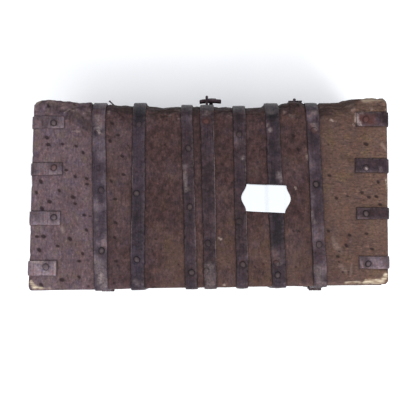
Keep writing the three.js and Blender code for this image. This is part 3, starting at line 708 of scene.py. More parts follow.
def lid_leather(material):
    xs = spaced(-HALF_LENGTH, HALF_LENGTH, LID_STEP)
    ys = spaced(-HALF_DEPTH, HALF_DEPTH, LID_STEP)
    zs = spaced(LID_LOW[2] + RIM_ROLL, LID_TOP, LID_WALL_STEP)
    points, faces = open_box(xs, ys, zs, LID_TOP)
    points = onto(lid_distance, points)
    normals = slope(lid_distance, points)
    top_marks = [(on_level(u, v, LID_TOP)[:2], (size, strength))
                 for marks, size, strength in MARK_KINDS for u, v in marks]
    marked = marks_over(points, normals, top_marks)
    placed = leaned(points)
    bare, scuff, crust, rust = (
        stroked(placed, strokes, LID_TOP)
        for strokes in (BARE_STROKES, SCUFF_STROKES, CRUST_STROKES, RUST_STROKES))
    crease, ridge, swell = front_wear(points, placed)
    moved = worn_lid(points, normals, marked, swell - CREASE_DEPTH * crease, bare)
    spots = stroked(placed, GRIME_AND_SHADE_STROKES, LID_TOP, broken=0.7, seed=15)
    # The creases are darkened with painted shade as well as sunk
    dirt_and_shadow = np.maximum.reduce([grime(moved), 0.75 * crease, spots])
    shape = Shape()
    shape.add(moved, faces, mark=marked, fade=fading(moved), warm=warmth(moved), bare=bare,
              scuff=np.maximum.reduce([scuff, crust, ridge]), grime=dirt_and_shadow, rust=rust)
    depth = LEATHER_INSET + BOARD_THICKNESS
    rim, rim_faces = rim_rings(LID_LOW[2], 1, depth, depth, depth)
    shape.add(rim, rim_faces, mark=RIM_MARK)
    piece = shape.make("worn_leather_of_lid", "lid", material)
    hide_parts("lid_leather")


# Darkening towards the chest's foot, dirt and painted shadow round the lock plate, and how far inside the
# plate the leather ends
FOOT_DARKENING_HEIGHT = 40 * MM
PLATE_DIRT_AND_SHADOW_REACH = 0.9 * MM
PLATE_MARGIN = 2 * MM
PLATE_TOP_MARGIN = 0.2 * MM


def chest_leather(material):
    xs = spaced(-HALF_LENGTH, HALF_LENGTH, CHEST_STEP)
    ys = spaced(-HALF_DEPTH, HALF_DEPTH, CHEST_STEP)
    zs = spaced(CHEST_LOW[2], CHEST_HIGH[2] - RIM_ROLL, CHEST_STEP)
    points, faces = open_box(xs, ys, zs, CHEST_LOW[2])
    points = onto(chest_distance, points)
    normals = slope(chest_distance, points)
    marked = marks_over(points, normals, None)
    moved = leather_relief(points, normals, marked)
    moved[:, 2] = np.minimum(moved[:, 2], CHEST_HIGH[2] - RIM_LIP)
    hidden = behind_plate(moved[np.array(faces)].mean(axis=1))
    faces = [face for face, cut in zip(faces, hidden) if not cut]
    shape = Shape()
    # Darker towards the chest's foot
    edge = 1 - np.abs(moved[:, 2] - CHEST_LOW[2]) / FOOT_DARKENING_HEIGHT
    edged = np.where(near_plate(moved, STRAP_NODE_WIDTH), 0, beside_straps(moved))
    shape.add(moved, faces, mark=marked, fade=fading(moved), warm=warmth(moved),
              grime=np.maximum.reduce([0.6 * ramp(edge, 0.4, 1), edged, beside_plate(moved)]))
    ends = LEATHER_INSET + BOARD_THICKNESS
    fronts = LEATHER_INSET + FRONT_BOARD_THICKNESS
    rim, rim_faces = rim_rings(CHEST_HIGH[2], -1, fronts, ends, ends)
    shape.add(rim, flipped(rim_faces), mark=RIM_MARK)
    piece = shape.make("worn_leather_of_chest", "chest", material)
    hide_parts("chest_leather")


def near_plate(points, margin):
    """Whether each point on the front is within a margin of the lock plate, or over it."""
    low, high = box_of("lock_plate")
    over = np.maximum(low - points, points - high)[:, [0, 2]].max(axis=1) < margin
    return over & (points[:, 1] < low[1] + margin) & (points[:, 2] > low[2])


def beside_plate(points):
    """Dirt and painted shadow: 1 at the edge of the lock plate, fading into the leather round it."""
    low, high = box_of("lock_plate")
    away = np.linalg.norm(np.maximum(np.maximum(low - points, points - high), 0), axis=1)
    return 0.8 * near(away, PLATE_DIRT_AND_SHADOW_REACH)


def behind_plate(points):
    """Whether each point on the front is well behind the lock plate, where the wall is cut away."""
    low, high = box_of("lock_plate")
    x, y, z = points.T
    inside_x = (x > low[0] + PLATE_MARGIN) & (x < high[0] - PLATE_MARGIN)
    inside_z = (z > low[2] + PLATE_MARGIN) & (z < high[2] - PLATE_TOP_MARGIN)
    return inside_x & inside_z & (y < low[1] + 2 * PLATE_MARGIN)


# Boards of the lid that follow the worn edge

BOARD_STEP = 2 * MM
FIT_ROUNDS = 3


def fitted_board(node, material):
    """A board of the lid, kept inside the leather where the edge is worn."""
    low, high = box_of(node)
    xs, ys, zs = (spaced(low[axis], high[axis], BOARD_STEP) for axis in range(3))
    points, faces = open_box(xs, ys, zs, high[2])
    under = np.array([(x, y, low[2]) for x in xs for y in ys])
    faces += shifted(flipped(loop_faces(len(xs), len(ys))), len(points))
    points = np.vstack([points, under])
    for _ in range(FIT_ROUNDS):
        excess = np.maximum(lid_distance(points) + LEATHER_INSET, 0)
        points = points - slope(lid_distance, points) * excess[:, None]
    points, faces = merged(leaned(points), faces, MERGE_STEP)
    piece = make_mesh("worn_" + node, points, faces, "lid", material)
    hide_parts(node)


# Iron straps

# Half a strap's width and its thickness, as shares, across a section with worn edges
SECTION = [
    (-1.0, -0.3), (-1.0, 0.5), (-0.97, 0.82), (-0.89, 0.97), (-0.45, 1.02), (0.0, 1.0),
    (0.45, 1.02), (0.89, 0.97), (0.97, 0.82), (1.0, 0.5), (1.0, -0.3),
]
# How worn each point of the section is, higher on the -X side, where it is also a painted highlight of the
# lit edge
SECTION_WEAR_AND_HIGHLIGHT = [0.0, 0.4, 1.0, 0.8, 0.1, 0.0, 0.0, 0.5, 0.7, 0.3, 0.0]
PATH_STEP = 0.8 * MM

# How far a strap's edges and middle wander, and its hammered face and pits: each with the size of
# its features and, where it has more than one, its layers
WANDER = 0.22 * MM
EDGE_WANDER_NOISE = (11 * MM, 4)
MIDDLE_WANDER_SIZE = 30 * MM
HAMMERED_HEIGHT = 0.07 * MM
HAMMERED_NOISE = (3.2 * MM, 3)
STRAP_PIT_DEPTH = 0.10 * MM
STRAP_PIT_SIZE = 1.3 * MM
STRAP_PIT_RANGE = (0.45, 0.8)

# What each of these adds to a strap's own seed
RIGHT_EDGE_SEED = 50
MIDDLE_SEED = 90
HAMMERED_SEED = 30
PIT_SEED = 31

# How far apart the straps lie in the noise that their edges follow
RUN_SPACING = 3.7

# What each group of straps adds to a strap's number to make its seed
LID_STRAP_SEED = 1
CHEST_STRAP_SEED = 21
END_STRAP_SEED = 60


def arc(middle, radius, start, end):
    """Points and directions along an arc, in a plane."""
    count = max(4, int(radius * abs(end - start) / PATH_STEP) + 2)
    angles = np.linspace(start, end, count)
    directions = np.column_stack([np.cos(angles), np.sin(angles)])
    return np.array(middle) + radius * directions, directions


def straight(start, end, direction):
    count = max(2, int(np.linalg.norm(np.subtract(end, start)) / PATH_STEP))
    return np.linspace(start, end, count, endpoint=False), np.tile(direction, (count, 1))


def joined_path(*parts):
    places = np.vstack([part[0] for part in parts])
    directions = np.vstack([part[1] for part in parts])
    return places, directions


def wrap(front_foot, back_foot, front_radius):
    """The path of a strap round the case: depth and height over the flat face, and directions."""
    out = HALF_DEPTH + STRAP_GAP
    quarter = math.pi / 2
    front_middle = (-HALF_DEPTH + front_radius, -front_radius)
    back_middle = (HALF_DEPTH - BACK_ROUND, -BACK_ROUND)
    return joined_path(
        straight((-out, -front_foot), (-out, -front_radius), (-1, 0)),
        arc(front_middle, front_radius + STRAP_GAP, 2 * quarter, quarter),
        straight((front_middle[0], STRAP_GAP), (back_middle[0], STRAP_GAP), (0, 1)),
        arc(back_middle, BACK_ROUND + STRAP_GAP, quarter, 0),
        straight((out, -BACK_ROUND), (out, -back_foot - PATH_STEP), (1, 0)),
        ([(out, -back_foot)], [(1, 0)]),
    )


def end_wrap(tab_length, foot):
    """The path of an end strap: distance past the end face and height over the flat face."""
    quarter = math.pi / 2
    level = STRAP_GAP - END_STRAP_SINK
    middle = (-END_ROUND, -END_ROUND)
    return joined_path(
        straight((-tab_length, level), (-END_ROUND, level), (0, 1)),
        arc(middle, END_ROUND + level, quarter, 0),
        straight((level, -END_ROUND), (level, -foot - PATH_STEP), (1, 0)),
        ([(level, -foot)], [(1, 0)]),
    )


def band(shape, centres, normals, side, widths, seed):
    """A forged strip of uneven width, with worn edges and pits, along a path."""
    rows, columns = len(centres), len(SECTION)
    across = np.array([share for share, _ in SECTION])
    heights = np.array([share for _, share in SECTION])
    along = np.cumsum(np.linalg.norm(np.diff(centres, axis=0, prepend=centres[:1]), axis=1))
    run = np.column_stack([along, np.full(rows, seed * RUN_SPACING), np.zeros(rows)])
    left = WANDER * rough(run, *EDGE_WANDER_NOISE, seed)
    right = WANDER * rough(run, *EDGE_WANDER_NOISE, seed + RIGHT_EDGE_SEED)
    wander = WANDER * noise(run, MIDDLE_WANDER_SIZE, seed + MIDDLE_SEED)
    reach = np.where(across[None, :] < 0, (widths / 2 + left)[:, None], (widths / 2 + right)[:, None])
    offset = across[None, :] * reach + wander[:, None]
    points = centres[:, None, :] + side * offset[:, :, None]
    points = points + normals[:, None, :] * (heights[None, :, None] * STRAP_THICKNESS)
    flat = points.reshape(-1, 3)
    facing = np.repeat(normals, columns, axis=0)
    raised = np.tile(heights > 0.5, rows)
    hammered = HAMMERED_HEIGHT * rough(flat, *HAMMERED_NOISE, seed + HAMMERED_SEED)
    pits = STRAP_PIT_DEPTH * ramp(noise(flat, STRAP_PIT_SIZE, seed + PIT_SEED), *STRAP_PIT_RANGE)
    flat = flat + facing * ((hammered - pits) * raised)[:, None]
    wear = np.tile(SECTION_WEAR_AND_HIGHLIGHT, rows)
    faces = loop_faces(rows, columns)
    faces.append(tuple(reversed(range(columns))))
    faces.append(tuple(range((rows - 1) * columns, rows * columns)))
    shape.add(flat, faces, wear=wear)


# A rivet head from its foot to its crown: radius and height as shares, wear with a painted highlight on the
# crown, and dirt with painted shadow round it
RIVET_PROFILE = [
    (1.04, -0.5, 0.0, 1.0), (1.0, 0.25, 0.0, 1.0), (0.9, 0.6, 0.2, 0.95), (0.68, 0.86, 0.5, 0.35),
    (0.36, 0.98, 0.9, 0.0),
]
RIVET_SIDES = 14
RIVET_OVAL_SHARE = 0.06
RIVET_SHIFT_SHARE = 0.07
RIVET_TILT_SHARE = 0.10
RIVET_DIRT_AND_SHADOW_REACH = 0.55 * MM

# A direction along which no rivet stands
OFF_RIVETS = (0.3, 0.5, 0.81)


def rivet(shape, place, direction, flatness, seed, clear=0.7):
    """A hammered rivet head, a little out of round."""
    direction = np.array(direction, dtype=float)
    first = np.cross(direction, OFF_RIVETS)
    first /= np.linalg.norm(first)
    second = np.cross(direction, first)
    height = RIVET_HEIGHT * flatness
    angles = np.linspace(0, 2 * math.pi, RIVET_SIDES, endpoint=False)
    shift = RIVET_SHIFT_SHARE * np.sin(angles + seed)
    lopsided = 1 + shift + RIVET_OVAL_SHARE * np.sin(2 * angles + 2.1 * seed)
    tilt = RIVET_TILT_SHARE * np.sin(angles + 1.7 * seed)
    rows, wear, dirt_and_shadow = [], [], []
    for reach, rise, worn, dirt_and_shadow_share in RIVET_PROFILE:
        ring = RIVET_RADIUS * reach * lopsided
        level = height * (rise + tilt * reach * (rise > 0))
        sideways = np.outer(ring * np.cos(angles), first) + np.outer(ring * np.sin(angles), second)
        rows.append(place + sideways + np.outer(level, direction))
        wear += [worn] * RIVET_SIDES
        dirt_and_shadow += [dirt_and_shadow_share] * RIVET_SIDES
    points = np.vstack(rows + [place + direction * height])
    faces = loop_faces(len(rows), RIVET_SIDES, closed=True)
    top = (len(rows) - 1) * RIVET_SIDES
    crown = len(rows) * RIVET_SIDES
    faces += [(top + i, top + (i + 1) % RIVET_SIDES, crown) for i in range(RIVET_SIDES)]
    # The crown's wear is partly a painted highlight, and the ring is dirt with painted shadow round the head
    shape.add(points, faces, wear=np.array(wear + [1.0]) * clear,
              ring=np.array(dirt_and_shadow + [0.0]) * (0.1 + 0.9 * clear), head=np.ones(len(points)))


def ring_round(shape, heads):
    """Darkens the iron round each rivet with dirt and painted shadow; each rivet is given as its place and
    how clearly it shows.
    """
    dark = shape.values["ring"]
    for place, clear in heads:
        away = np.linalg.norm(shape.points - place, axis=1)
        dark = np.maximum(dark, 0.75 * clear * near(away - RIVET_RADIUS, RIVET_DIRT_AND_SHADOW_REACH))
    on_head = ramp(shape.values["head"], 0.4, 0.6)
    shape.values["ring"] = dark * (1 - on_head) + shape.values["ring"] * on_head


# Where the straps lie, in pixels: left and right edges at the front and at the back of the lid,
# and the place of each rivet with how clearly it shows
STRAP_EDGES = [
    ((91.4, 104.9), (93.7, 107.6)), ((132.5, 145), (130.5, 144.5)), ((181, 192.5), (185, 197)),
    ((199.8, 213.4), (204.2, 216.8)), ((233, 245.5), (236.7, 248.4)), ((265.6, 279.6), (272.4, 286.8)),
    ((306.4, 318.9), (314, 327.5)),
]
FRONT_PIXEL = 112
BACK_PIXEL = 284
STRAP_RIVETS = [
    [(98, 132, 0.3), (101, 190, 0.45), (101.5, 250.5, 1.0)],
    [(139, 124, 0.3), (136.5, 193.5, 0.85), (136.5, 259.5, 0.85)],
    [(188.5, 148, 0.6), (190, 207, 0.7), (191.5, 272.5, 0.9)],
    [(206, 119.5, 0.3), (208, 243, 0.3), (206.5, 271, 0.3)],
    [(239, 134, 0.5), (239, 221, 0.2), (243, 264.5, 0.7)],
    [(276.5, 263.5, 0.2), (277.5, 275.5, 0.8)],
    [(314, 130, 0.3), (316, 184.5, 1.0), (319, 244.5, 0.5)],
]
STRAP_NODE_WIDTH = 7 * MM
WALL_OUT = HALF_DEPTH + STRAP_GAP + STRAP_THICKNESS

# The strap that the hasp lies on, and how deep it is rubbed from how high
HASP_STRAP = 3
HASP_TOP = 82 * MM
HASP_HOLLOW = 0.5 * MM
HASP_HOLLOW_BLEND = 3 * MM

# Where rivets sit on the walls: down the chest from its rim, and up the lid from its rim
WALL_RIVET_SHARES = (0.12, 0.8)
RIM_RIVET_SHARE = 0.45

# The straps that end in hinge knuckles, the knuckles, and how far from the rim the others stop
HINGE_STRAPS = (0, 6)
KNUCKLE_WIDTH = 2.6 * MM
KNUCKLE_GAP = 0.2 * MM
KNUCKLE_RADIUS = 1.6 * MM
KNUCKLE_BORE = 0.84 * MM
KNUCKLE_SIDES = 18
NECK_START_SHARE = 1.3
HINGE_FOOT = 1.9 * MM
BACK_CLEARANCE = 0.25 * MM

# A knuckle from its one side to the other: place as a share of half its width, radius and wear
KNUCKLE_PROFILE = [
    (-1, KNUCKLE_BORE, 0.2), (-1, KNUCKLE_RADIUS * 0.95, 0.9), (-0.9, KNUCKLE_RADIUS, 0.6),
    (0.9, KNUCKLE_RADIUS, 0.6), (1, KNUCKLE_RADIUS * 0.95, 0.9), (1, KNUCKLE_BORE, 0.2),
]


def strap_line(index):
    """Where a strap's middle runs in X and how wide it is, as functions of the depth."""
    depths, middles, widths = [], [], []
    for row, edges in zip((FRONT_PIXEL, BACK_PIXEL), STRAP_EDGES[index]):
        first, last = (on_level(u, row, TOP_OF_STRAPS) for u in edges)
        depths.append((first[1] + last[1]) / 2)
        middles.append((first[0] + last[0]) / 2)
        widths.append(abs(first[0] - last[0]))
    tilt = (middles[1] - middles[0]) / (depths[1] - depths[0])
    swell = (widths[1] - widths[0]) / (depths[1] - depths[0])

    def middle(y):
        return middles[0] + tilt * (y - depths[0])

    def width(y):
        return widths[0] + swell * (y - depths[0])

    return middle, width


def knuckle(shape, middle, width, pin, neck_end):
    """A ring round the hinge pin and the neck that joins it to its strap."""
    half = width / 2
    angles = np.linspace(0, 2 * math.pi, KNUCKLE_SIDES, endpoint=False)
    rows, wear = [], []
    for across, radius, worn in KNUCKLE_PROFILE:
        xs = np.full(KNUCKLE_SIDES, middle + half * across)
        rows.append(np.column_stack([xs, pin[0] + radius * np.cos(angles), pin[1] + radius * np.sin(angles)]))
        wear += [worn] * KNUCKLE_SIDES
    faces = loop_faces(len(rows), KNUCKLE_SIDES, closed=True)
    last = (len(rows) - 1) * KNUCKLE_SIDES
    for side in range(KNUCKLE_SIDES):
        beside = (side + 1) % KNUCKLE_SIDES
        faces.append((last + side, last + beside, beside, side))
    shape.add(np.vstack(rows), faces, wear=np.array(wear))
    start = pin[1] + math.copysign(KNUCKLE_BORE * NECK_START_SHARE, neck_end - pin[1])
    neck(shape, (middle - half, middle + half), (pin[0] - STRAP_THICKNESS, pin[0]), (start, neck_end))


def neck(shape, xs, ys, zs):
    """A plain block between two places on each axis."""
    square = [(xs[0], ys[0]), (xs[1], ys[0]), (xs[1], ys[1]), (xs[0], ys[1])]
    corners = [(x, y, z) for z in zs for x, y in square]
    faces = loop_faces(2, 4, closed=True)
    faces += [(4, 5, 6, 7), (3, 2, 1, 0)]
    shape.add(np.array(corners), faces, wear=np.full(len(corners), 0.5))


def centres_round(path, middle, flat_level, up):
    """A strap's path in space, and the directions out of the case."""
    places, directions = path
    xs = middle(along_case(places[:, 0]))
    centres = np.column_stack([xs, places[:, 0], flat_level + up * places[:, 1]])
    normals = np.column_stack([np.zeros(len(xs)), directions[:, 0], up * directions[:, 1]])
    return centres, normals


def strap_band(index, path, flat_level, up, seed):
    """The strip of a long strap."""
    middle, width = strap_line(index)
    centres, normals = centres_round(path, middle, flat_level, up)
    shape = Shape()
    band(shape, centres, normals, np.array([1.0, 0, 0]), width(along_case(centres[:, 1])), seed)
    return shape


def hollow_under_hasp(shape):
    """Thins a strap where the hasp lies against it."""
    proud = -shape.points[:, 1] - HALF_DEPTH - STRAP_GAP
    outer = ramp(proud, 0.3 * STRAP_THICKNESS, 0.7 * STRAP_THICKNESS)
    low = ramp(HASP_TOP - shape.points[:, 2], 0, HASP_HOLLOW_BLEND)
    shape.points[:, 1] += HASP_HOLLOW * outer * low


def lid_strap_rivets(shape, index):
    """The rivets that the photograph shows on a lid strap, and one on its back wall."""
    middle, _ = strap_line(index)
    heads = []
    for number, (u, v, clear) in enumerate(STRAP_RIVETS[index]):
        place = on_level(u, v, TOP_OF_STRAPS)
        heads.append((place, clear))
        height_share = FAINT_RIVET_SHARE + (1 - FAINT_RIVET_SHARE) * clear
        rivet(shape, place, (0, 0, 1), height_share, index * 5 + number, clear)
    height = LID_LOW[2] + (LID_TOP - LID_LOW[2]) * RIM_RIVET_SHARE
    place = np.array([middle(HALF_DEPTH), WALL_OUT, height])
    heads.append((place, 1.0))
    rivet(shape, place, (0, 1, 0), FLAT_RIVET_SHARE, index * 7)
    ring_round(shape, heads)


def lid_strap(index, material):
    middle, _ = strap_line(index)
    hinged = index in HINGE_STRAPS
    pin_y, pin_z = hinge_axis()
    back_z = pin_z + HINGE_FOOT if hinged else LID_LOW[2] + BACK_CLEARANCE
    front_radius = float(front_round(middle(-HALF_DEPTH)))
    path = wrap(LID_TOP - LID_LOW[2], LID_TOP - back_z, front_radius)
    shape = strap_band(index, path, LID_TOP, 1, index + LID_STRAP_SEED)
    lid_strap_rivets(shape, index)
    shade_iron(shape, index)
    if hinged:
        knuckle(shape, middle(HALF_DEPTH), KNUCKLE_WIDTH, (pin_y, pin_z), back_z + STRAP_THICKNESS)
    if index == HASP_STRAP:
        hollow_under_hasp(shape)
    shape.points = leaned(shape.points)
    piece = shape.make("forged_lid_strap_%d" % (index + 1), "lid", material)
    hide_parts("lid_strap_%d" % (index + 1))


# Tone and colour of the iron
STRAP_TONES = [0.2, -0.25, -0.05, -0.1, -0.08, -0.3, 0.08]
STRAP_COOLNESS = [0.9, 0.8, 0.35, 0.25, 0.2, 0.45, 0.45]
DARK_STROKES = [
    (273, 145, 274, 182, 2.0, 0.4), (277, 215, 278, 240, 2.4, 0.6), (238, 113, 239, 120, 2.6, 0.3),
    (137, 205, 137, 248, 2.4, 0.3), (139, 106, 139, 116, 2.6, 0.6), (207, 168, 209, 200, 2.4, 0.35),
    (189, 192, 190, 250, 2.4, 0.4), (316, 186, 316, 190, 1.6, 0.4), (209, 205, 210, 250, 2.4, 0.4),
    (272, 114, 273, 121, 2.6, 0.5), (240, 205, 242, 250, 2.2, 0.3), (186, 154, 187, 162, 2.2, 0.3),
    (100, 190, 101, 198, 2.4, 0.3), (314, 134, 314, 144, 2.4, 0.25), (316, 202, 317, 212, 2.4, 0.3),
]
PALE_STROKES = [
    (99, 272, 102, 281, 1.2, 0.7), (98, 262, 104, 284, 3.0, 0.3), (135, 280, 137, 283, 1.0, 0.3),
    (242, 157, 242, 159, 0.6, 0.6), (264, 119, 264, 120, 0.4, 0.6), (267, 124, 270, 131, 0.5, 0.6),
    (279, 173, 282, 181, 1.1, 0.4), (97, 128, 100, 133, 1.2, 0.7), (98, 116, 99, 126, 2.2, 0.3),
    (95.5, 195, 96, 236, 0.6, 0.4), (311, 212, 314, 222, 0.9, 0.3), (103, 240, 104, 246, 0.7, 0.3),
    (184, 165, 186, 190, 1.0, 0.35), (272, 250, 280, 262, 2.0, 0.15), (206, 105, 207, 109, 1.8, 0.3),
    (313, 124, 315, 128, 1.4, 0.4), (318, 268, 320, 284, 2.6, 0.25), (209, 268, 210, 286, 2.6, 0.25),
    (310, 104, 314, 109, 1.8, 0.4), (270, 104, 271, 108, 2.2, 0.3),
]

# Straps with a painted highlight, a pale line along one edge: its side in X, from and to which pixel row, and
# how strongly
HIGHLIGHT_EDGES = {
    1: (1, 146, 262, 0.95), 2: (-1, 158, 262, 0.8), 3: (-1, 124, 280, 0.8), 4: (-1, 160, 262, 0.9),
}
HIGHLIGHT_FADE = 4 * MM
HIGHLIGHT_START_SHARES = (0.6, 0.7)
HIGHLIGHT_NOISE = (6 * MM, 71)

# Which point of a strap's section lies on its worn edge, where the painted highlight runs, by side in X
EDGE_COLUMNS = {-1: 2, 1: 8}

# How far down the photograph the painted grey sheen on the roll of each strap reaches, in pixels, and how it
# ends
SHEEN_ROLL_PIXELS = [107, 111, 104, 104, 104, 112, 106]
SHEEN_ROLL_BLEND = (-2 * MM, 1 * MM)
SHEEN_ROLL_UNEVENNESS = 1.2 * MM
SHEEN_ROLL_NOISE = (3 * MM, 3, 29)
SHEEN_ROLL_DEPTH = 9 * MM

# Unevenness of the iron's tone and coolness: the size of its largest features, layers and seed
TONE_NOISE = (7 * MM, 4, 23)
COOLNESS_NOISE = (12 * MM, 2, 27)
TAB_TONE_NOISE = (6 * MM, 3, 45)


def shade_iron(shape, index):
    """The painted grey sheen on the roll at the lid's front, the dark and pale stretches of a strap, and the
    painted highlight along one edge of some straps.
    """
    points = shape.points
    dark = stroked(points, DARK_STROKES, TOP_OF_STRAPS, broken=0.6, seed=17)
    pale = stroked(points, PALE_STROKES, TOP_OF_STRAPS, broken=0.5, seed=19)
    tone = STRAP_TONES[index] + 0.4 * rough(points, *TONE_NOISE)
    cool = STRAP_COOLNESS[index] + 0.3 * rough(points, *COOLNESS_NOISE)
    edge = on_level(PHOTO_MIDDLE, SHEEN_ROLL_PIXELS[index], TOP_OF_STRAPS)[1]
    before_edge = edge - points[:, 1] + SHEEN_ROLL_UNEVENNESS * rough(points, *SHEEN_ROLL_NOISE)
    shape.values["tone"] = np.clip(tone - dark, -1, 1)
    shape.values["cool"] = np.clip(cool, 0, 1)
    # Pale scuffs, with the painted highlight along one edge
    shape.values["scuff"] = np.maximum(pale, painted_edge_highlight(points, shape.values["wear"], index))
    shape.values["rust"] = stroked(points, RUST_STROKES, TOP_OF_STRAPS)
    shape.values["roll"] = ramp(before_edge, *SHEEN_ROLL_BLEND) * (points[:, 2] > LID_TOP - SHEEN_ROLL_DEPTH)


def painted_edge_highlight(points, wear, index):
    """The painted highlight: a pale line along one edge of some straps."""
    if index not in HIGHLIGHT_EDGES:
        return np.zeros(len(points))
    side, first, last, strength = HIGHLIGHT_EDGES[index]
    middle, width = strap_line(index)
    out = 2 * side * (points[:, 0] - middle(points[:, 1])) / width(points[:, 1])
    start, end = (on_level(PHOTO_MIDDLE, row, TOP_OF_STRAPS)[1] for row in (first, last))
    along = ramp(points[:, 1] - start, 0, HIGHLIGHT_FADE) * ramp(end - points[:, 1], 0, HIGHLIGHT_FADE)
    broken = ramp(noise(points, *HIGHLIGHT_NOISE), -0.5, 0.1)
    rubbed = SECTION_WEAR_AND_HIGHLIGHT[EDGE_COLUMNS[side]]
    edge = ramp(wear, rubbed - 0.2, rubbed) * ramp(out, *HIGHLIGHT_START_SHARES)
    return strength * edge * along * broken


def hinge_axis():
    low, high = box_of("right_hinge_pin")
    return (low[1] + high[1]) / 2, (low[2] + high[2]) / 2


def chest_strap_rivets(shape, index, under_plate):
    """The rivets on a chest strap's walls, with only the low one in front if it starts under the plate."""
    middle, _ = strap_line(index)
    heads = []
    for side in (-1, 1):
        shares = WALL_RIVET_SHARES[1:] if under_plate and side < 0 else WALL_RIVET_SHARES
        for share in shares:
            height = CHEST_HIGH[2] - (CHEST_HIGH[2] - CHEST_LOW[2]) * share
            place = np.array([middle(side * HALF_DEPTH), side * WALL_OUT, height])
            heads.append((place, 1.0))
            rivet(shape, place, (0, side, 0), FLAT_RIVET_SHARE, index * 9 + side + 10 * share)
    ring_round(shape, heads)


def chest_knuckles(shape, middle, pin, neck_end):
    """The two knuckles of a chest strap, one on either side of the lid strap's."""
    width = (STRAP_NODE_WIDTH - KNUCKLE_WIDTH) / 2 - KNUCKLE_GAP
    offset = KNUCKLE_WIDTH / 2 + KNUCKLE_GAP + width / 2
    for side in (-1, 1):
        knuckle(shape, middle + side * offset, width, pin, neck_end)


def chest_strap(index, material):
    middle, _ = strap_line(index)
    hinged = index in HINGE_STRAPS
    pin_y, pin_z = hinge_axis()
    rim, base = CHEST_HIGH[2], CHEST_LOW[2]
    back_z = pin_z - HINGE_FOOT if hinged else rim - BACK_CLEARANCE
    plate_low, plate_high = box_of("lock_plate")
    reach = STRAP_NODE_WIDTH / 2
    under_plate = plate_low[0] - reach < middle(-HALF_DEPTH) < plate_high[0] + reach
    front_z = plate_low[2] - STRAP_GAP if under_plate else rim
    path = wrap(front_z - base, back_z - base, BACK_ROUND)
    shape = strap_band(index, path, base, -1, index + CHEST_STRAP_SEED)
    shape.faces = flipped(shape.faces)
    chest_strap_rivets(shape, index, under_plate)
    shade_iron(shape, index)
    if hinged:
        chest_knuckles(shape, middle(HALF_DEPTH), (pin_y, pin_z), back_z - STRAP_THICKNESS)
    foot = box_of("chest_strap_%d" % (index + 1))[0][2]
    shape.points[:, 2] = np.maximum(shape.points[:, 2], foot)
    piece = shape.make("forged_chest_strap_%d" % (index + 1), "chest", material)
    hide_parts("chest_strap_%d" % (index + 1))


# The tabs of the end straps, in pixels: upper and lower edge, inner end, and rivet with how
# clearly it shows
LEFT_TABS = [
    (116, 128, 63.5, (53, 123, 1.0)), (162.5, 174.5, 62, (53.5, 167.5, 0.9)),
    (210.8, 224.5, 60, (54, 217.5, 1.0)), (260.5, 274.5, 56.7, (47, 266.5, 0.6)),
]
RIGHT_TABS = [
    (111.5, 126, 356, (365, 119, 0.4)), (158.5, 172.5, 355, (365.5, 168, 0.4)),
    (207.5, 219, 357, (366.5, 213.5, 1.0)), (256.5, 270, 360, (369, 264, 1.0)),
]
TABS = {1: LEFT_TABS, -1: RIGHT_TABS}

# Tone and coolness of each tab, from the front to the back, by side
TAB_SHADES = {
    1: [(0.5, 0.1), (0.5, 0.1), (0.7, 0.3), (0.9, 0.4)],
    -1: [(0.05, 0.1), (-0.1, 0.3), (0.25, 0.1), (0.5, 0.0)],
}
TAB_GLINTS = [
    (33, 262, 43, 261.2, 1.0, 1.0), (46, 271, 50, 273, 0.7, 0.8), (380, 168, 381, 169, 0.6, 1.0),
    (366, 168, 367, 169, 0.5, 0.9), (361, 262, 364, 267, 0.6, 0.5), (37, 268, 40, 268, 1.0, 0.4),
    (55.5, 262, 56, 270, 0.8, 0.8),
]


# By body: the height of the flat face, which way it faces, and how high the walls are
FLAT_FACES = {
    "lid": (LID_TOP, 1, LID_TOP - LID_LOW[2]),
    "chest": (CHEST_LOW[2], -1, CHEST_HIGH[2] - CHEST_LOW[2]),
}


def end_strap_path(tab, side, body):
    """An end strap's path in space, and the directions out of the case."""
    inner_end, y, _ = tab_line(tab)
    flat, up, foot = FLAT_FACES[body]
    places, directions = end_wrap(HALF_LENGTH - inner_end, foot)
    count = len(places)
    xs = side * (HALF_LENGTH + places[:, 0])
    centres = np.column_stack([xs, np.full(count, y), flat + up * places[:, 1]])
    normals = np.column_stack([side * directions[:, 0], np.zeros(count), up * directions[:, 1]])
    return centres, normals


def end_strap_rivets(shape, tab, side, body, seed):
    """The rivets on an end strap's wall, and on the lid the photographed one on its tab."""
    _, y, _ = tab_line(tab)
    _, _, foot = FLAT_FACES[body]
    wall = side * (HALF_LENGTH + STRAP_GAP + STRAP_THICKNESS - END_STRAP_SINK)
    heads = []
    if body == "lid":
        u, v, clear = tab[-1]
        heads.append((on_level(u, v, TOP_OF_STRAPS - END_STRAP_SINK), clear))
        rivet(shape, heads[-1][0], (0, 0, 1), 1.0, seed, clear)
        levels = [LID_LOW[2] + foot * RIM_RIVET_SHARE]
    else:
        levels = [CHEST_HIGH[2] - foot * share for share in WALL_RIVET_SHARES]
    for number, level in enumerate(levels):
        heads.append((np.array([wall, y, level]), 1.0))
        rivet(shape, heads[-1][0], (side, 0, 0), FLAT_RIVET_SHARE, seed + number + 3)
    ring_round(shape, heads)


